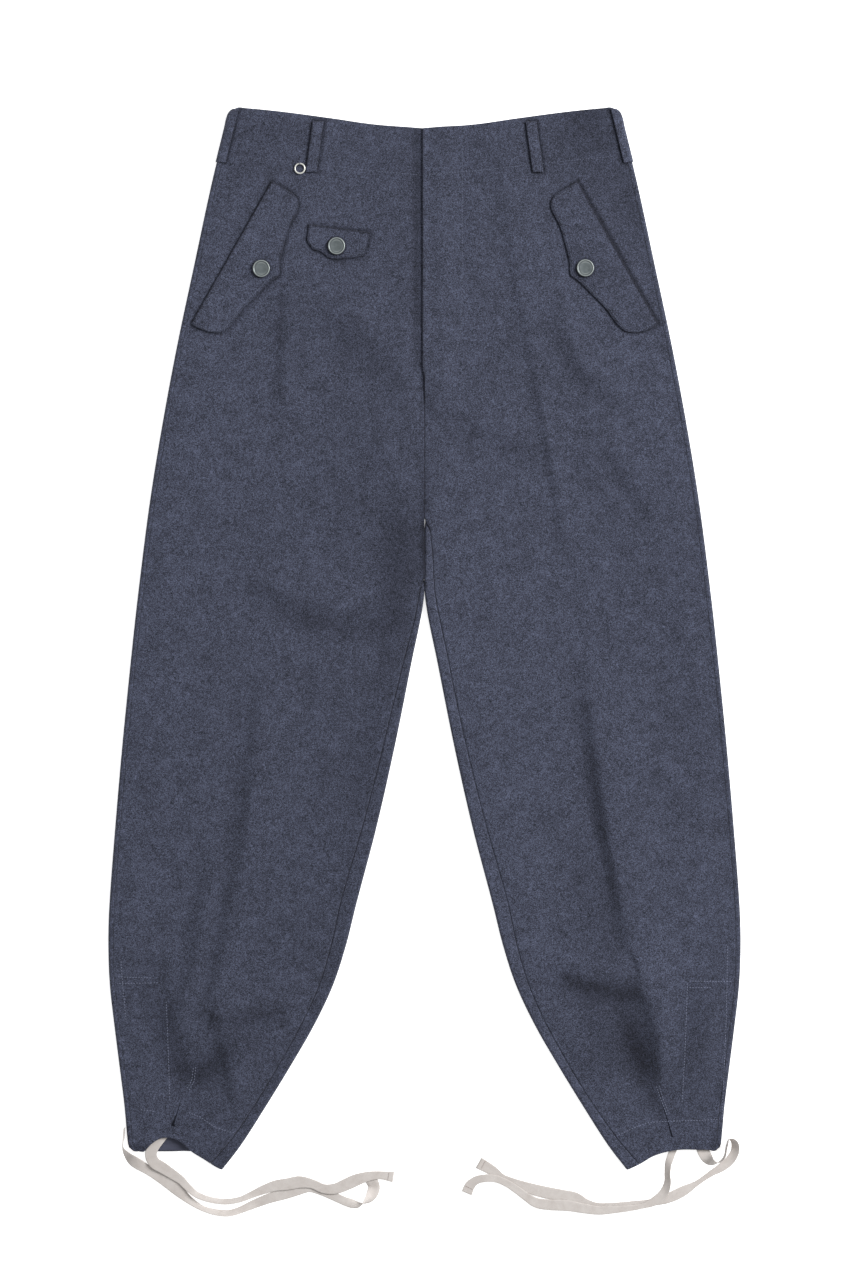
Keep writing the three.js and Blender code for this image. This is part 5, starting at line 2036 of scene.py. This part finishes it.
ROUTES = {
    "right_outer_tape": (0.338, (
        (-315, -514, 7, 90), (-315.5, -523, 7, 90), (-316.5, -533, 7, 80), (-312, -542, 5.4, 48),
        (-304, -550, 2.6, 16), (-290, -559, 0.65, 0), (-275, -568, 0.65, 0), (-260, -579, 0.8, 0),
        (-247, -590, 2.6, -18), (-233, -598, 5.4, -45), (-219, -602, 6, -55), (-205, -603, 5.4, -45),
        (-193, -600, 3, -20), (-178, -594, 0.8, 0), (-162, -588, 0.65, 0), (-146, -583, 0.65, 0),
        (-133, -579, 0.65, 0), (-121, -577, 0.65, 0), (-110, -580, 0.65, 0), (-96, -586, 0.65, 0),
        (-81, -592, 2.6, -20), (-68, -594, 6.8, -80), (-58, -588, 5.2, -140), (-53, -577, 0.8, -180),
        (-57, -567, 0.6, -180),
    )),
    "right_inner_tape": (0.318, (
        (-268, -510, 4.3, 0), (-274, -519, 4.3, 0), (-281, -528, 4.3, 0), (-286, -536, 4.1, 0),
        (-287, -544, 3.6, 0), (-283, -551, 3, 0), (-275, -556, 2.4, 0), (-266, -562, 2, 0),
        (-256, -569, 2, 0), (-248, -577, 2.4, -10), (-239, -584, 4, -32), (-225, -589, 4.8, -42),
        (-209, -591, 4.8, -42), (-194, -589, 4.4, -32), (-181, -584, 2.6, -10), (-169, -579, 2, 0),
        (-157, -575, 2, 0), (-143, -573, 2, 0), (-131, -571, 2, 0), (-118, -573, 2, 0),
        (-106, -578, 2, 0), (-94, -578, 2, 0), (-83, -574, 2, 0), (-72, -569, 2, 0),
        (-59, -565, 2, 0), (-46, -564, 1.4, 0), (-32.5, -566, 0.65, 0),
    )),
    "left_inner_tape": (0.290, (
        (264, -522, 3.2, 0), (262, -533, 3.2, 0), (259, -543, 3.2, 0), (256, -552, 4, 26),
        (255, -562, 4.6, 38), (255, -572, 4.6, 30), (251, -583, 3, 8), (242, -591, 2.2, 0),
        (230, -596, 2, 0), (216, -598.5, 2, 0), (200, -600, 2, 0), (184, -601, 2, 0),
        (168, -599, 2, 0), (151, -596, 2, 0), (132, -595, 2, 0), (118, -593, 2, 0),
        (107.5, -587, 2, 0), (98, -580, 2, 0), (87.5, -573, 2, 0), (76, -568, 2, 0),
        (65, -567, 2, 0), (55, -569, 1.4, 0), (48, -575, 0.8, 0), (44.5, -583, 0.65, 0),
    )),
    "left_outer_tape": (0.376, (
        (289, -529, 3.2, 0), (294, -541, 3.2, 0), (300, -549, 5.2, 42), (308, -550, 7, 80),
        (314.5, -544, 7, 90), (317, -533, 7, 90), (320, -525, 7, 80), (325.5, -529.5, 5.6, 50),
        (326, -539, 3, 20), (321, -548.5, 1, 4), (312, -556, 0.65, 0), (301, -562.5, 0.65, 0),
        (287, -572, 0.65, 0), (272.5, -580.5, 0.65, 0), (256.5, -588, 0.65, 0),
        (239, -592.5, 0.65, 0), (218, -594, 0.65, 0), (198, -596, 0.65, 0), (182, -597, 0.65, 0),
        (169.5, -593.5, 0.65, 0), (158, -587.5, 0.65, 0), (142, -585, 0.65, 0),
        (124.5, -581.5, 0.65, 0), (107.5, -577, 0.65, 0), (92, -571.5, 0.65, 0),
        (81.5, -567, 0.65, 0), (71, -559, 0.65, 0), (57, -551, 0.65, 0),
    )),
}

SPREADS = {
    "right_outer_tape": (
        1, 1, 1, 1, 1, 0.8, 0.95, 1, 0.63, 0.53, 0.7, 0.65, 0.58, 0.75, 0.85, 1, 1, 0.8, 0.75, 0.72, 0.75,
        1, 1, 1, 1,
    ),
    "right_inner_tape": (
        1, 1, 1, 1, 1, 1, 0.95, 0.85, 0.72, 0.6, 0.56, 0.55, 0.55, 0.5, 0.58, 0.75, 0.9, 1, 1, 0.78, 0.78,
        0.9, 1, 1, 0.8, 0.68, 0.9,
    ),
    "left_inner_tape": (
        0.65, 0.65, 0.62, 0.6, 0.6, 0.66, 0.75, 0.75, 0.45, 0.48, 0.6, 0.7, 0.8, 0.9, 0.9, 0.85, 0.7, 0.65,
        0.6, 0.6, 0.65, 0.7, 0.85, 0.92,
    ),
    "left_outer_tape": (
        1, 1, 1, 1, 1, 1, 1, 0.85, 0.75, 0.78, 0.72, 0.5, 0.45, 0.85, 0.85, 0.6, 0.45, 0.5, 0.65, 0.75, 0.9,
        1, 1, 0.9, 0.75, 0.7, 0.85, 1,
    ),
}

HIP_FLAP_DEPTH = Profile((
    (0, 25.5), (1.5, 30), (4, 34), (8, 37), (14, 38.6), (33, 39.7), (51, 43.9), (69, 49), (82, 54.9),
    (90.5, 51.1), (108, 46.3), (130, 40.4), (148, 38.3), (158, 35.8), (164.5, 30.9),
    (169.5, 21.5), (172, 8),
))
WATCH_FLAP_DEPTH = Profile((
    (-1.5, 14), (0, 18.8), (3.5, 22.5), (6.3, 25.4), (15.5, 27.1), (23, 31.6), (30.6, 32.3),
    (43, 30), (57.2, 25.9), (60.5, 21.9), (62.9, 5),
))

HIP_BUTTONS = {Side.LEFT: (168.5, 388.2), Side.RIGHT: (-171.0, 387.6)}
DART_MOUTHS = {
    Side.LEFT: ((248, -486, 0.6), (253, -499, 1.0), (256.5, -511, 1.3), (259, -520, 2.2), (260, -523, 2.6)),
    Side.RIGHT: ((-256.5, -488, 0.6), (-259, -496, 1.0), (-261.5, -503, 1.4), (-263.5, -509, 3.6),
                 (-264, -511.5, 5.0)),
}


def main() -> None:
    """Builds the studio, the tapes, the cloth, the sewing and the hardware, in that order."""
    logging.basicConfig(level=logging.INFO, format="%(message)s")
    Studio().build()
    finishes = Finishes()
    for node, (length, route) in ROUTES.items():
        Tape(node, length, route, SPREADS[node]).build(finishes)
    panels = {side: FrontPanel(side) for side in Side}
    hip = {
        side: Flap(f"{side.word}_pocket_flap", panels[side], (160.5, 479.3), (245.5, 329.2),
                   HIP_FLAP_DEPTH, (0.055, 0.172), 0.0073, HIP_BUTTONS[side])
        for side in Side
    }
    watch = Flap("watch_pocket_flap", panels[Side.RIGHT], (-119.9, 434), (-59.3, 425.8),
                 WATCH_FLAP_DEPTH, (0.0325, 0.0644), 0.00178, (-92.2, 411.3))
    flaps = [hip[Side.LEFT], hip[Side.RIGHT], watch]
    for side in Side:
        loops = [FrontLoop(side, panels[side]), SideLoop(side)]
        sewn_on = [piece.edge_line() for piece in loops + [flap for flap in flaps if flap.panel.side is side]]
        BackPanel(side).build(finishes)
        panels[side].build(finishes, sewn_on)
        for loop in loops:
            loop.build(finishes)
    for flap in flaps:
        flap.build(finishes)
    CuffFacing().build(finishes)
    Button("left_flap_button", hip[Side.LEFT]).build(finishes)
    Button("right_flap_button", hip[Side.RIGHT]).build(finishes)
    Button("watch_flap_button", watch).build(finishes)
    WatchRing().build(finishes)
    for side, rows in DART_MOUTHS.items():
        DartMouth(panels[side], rows).build(finishes)
    PanelSewing(panels).build(finishes, flaps)


if __name__ == "__main__":
    main()
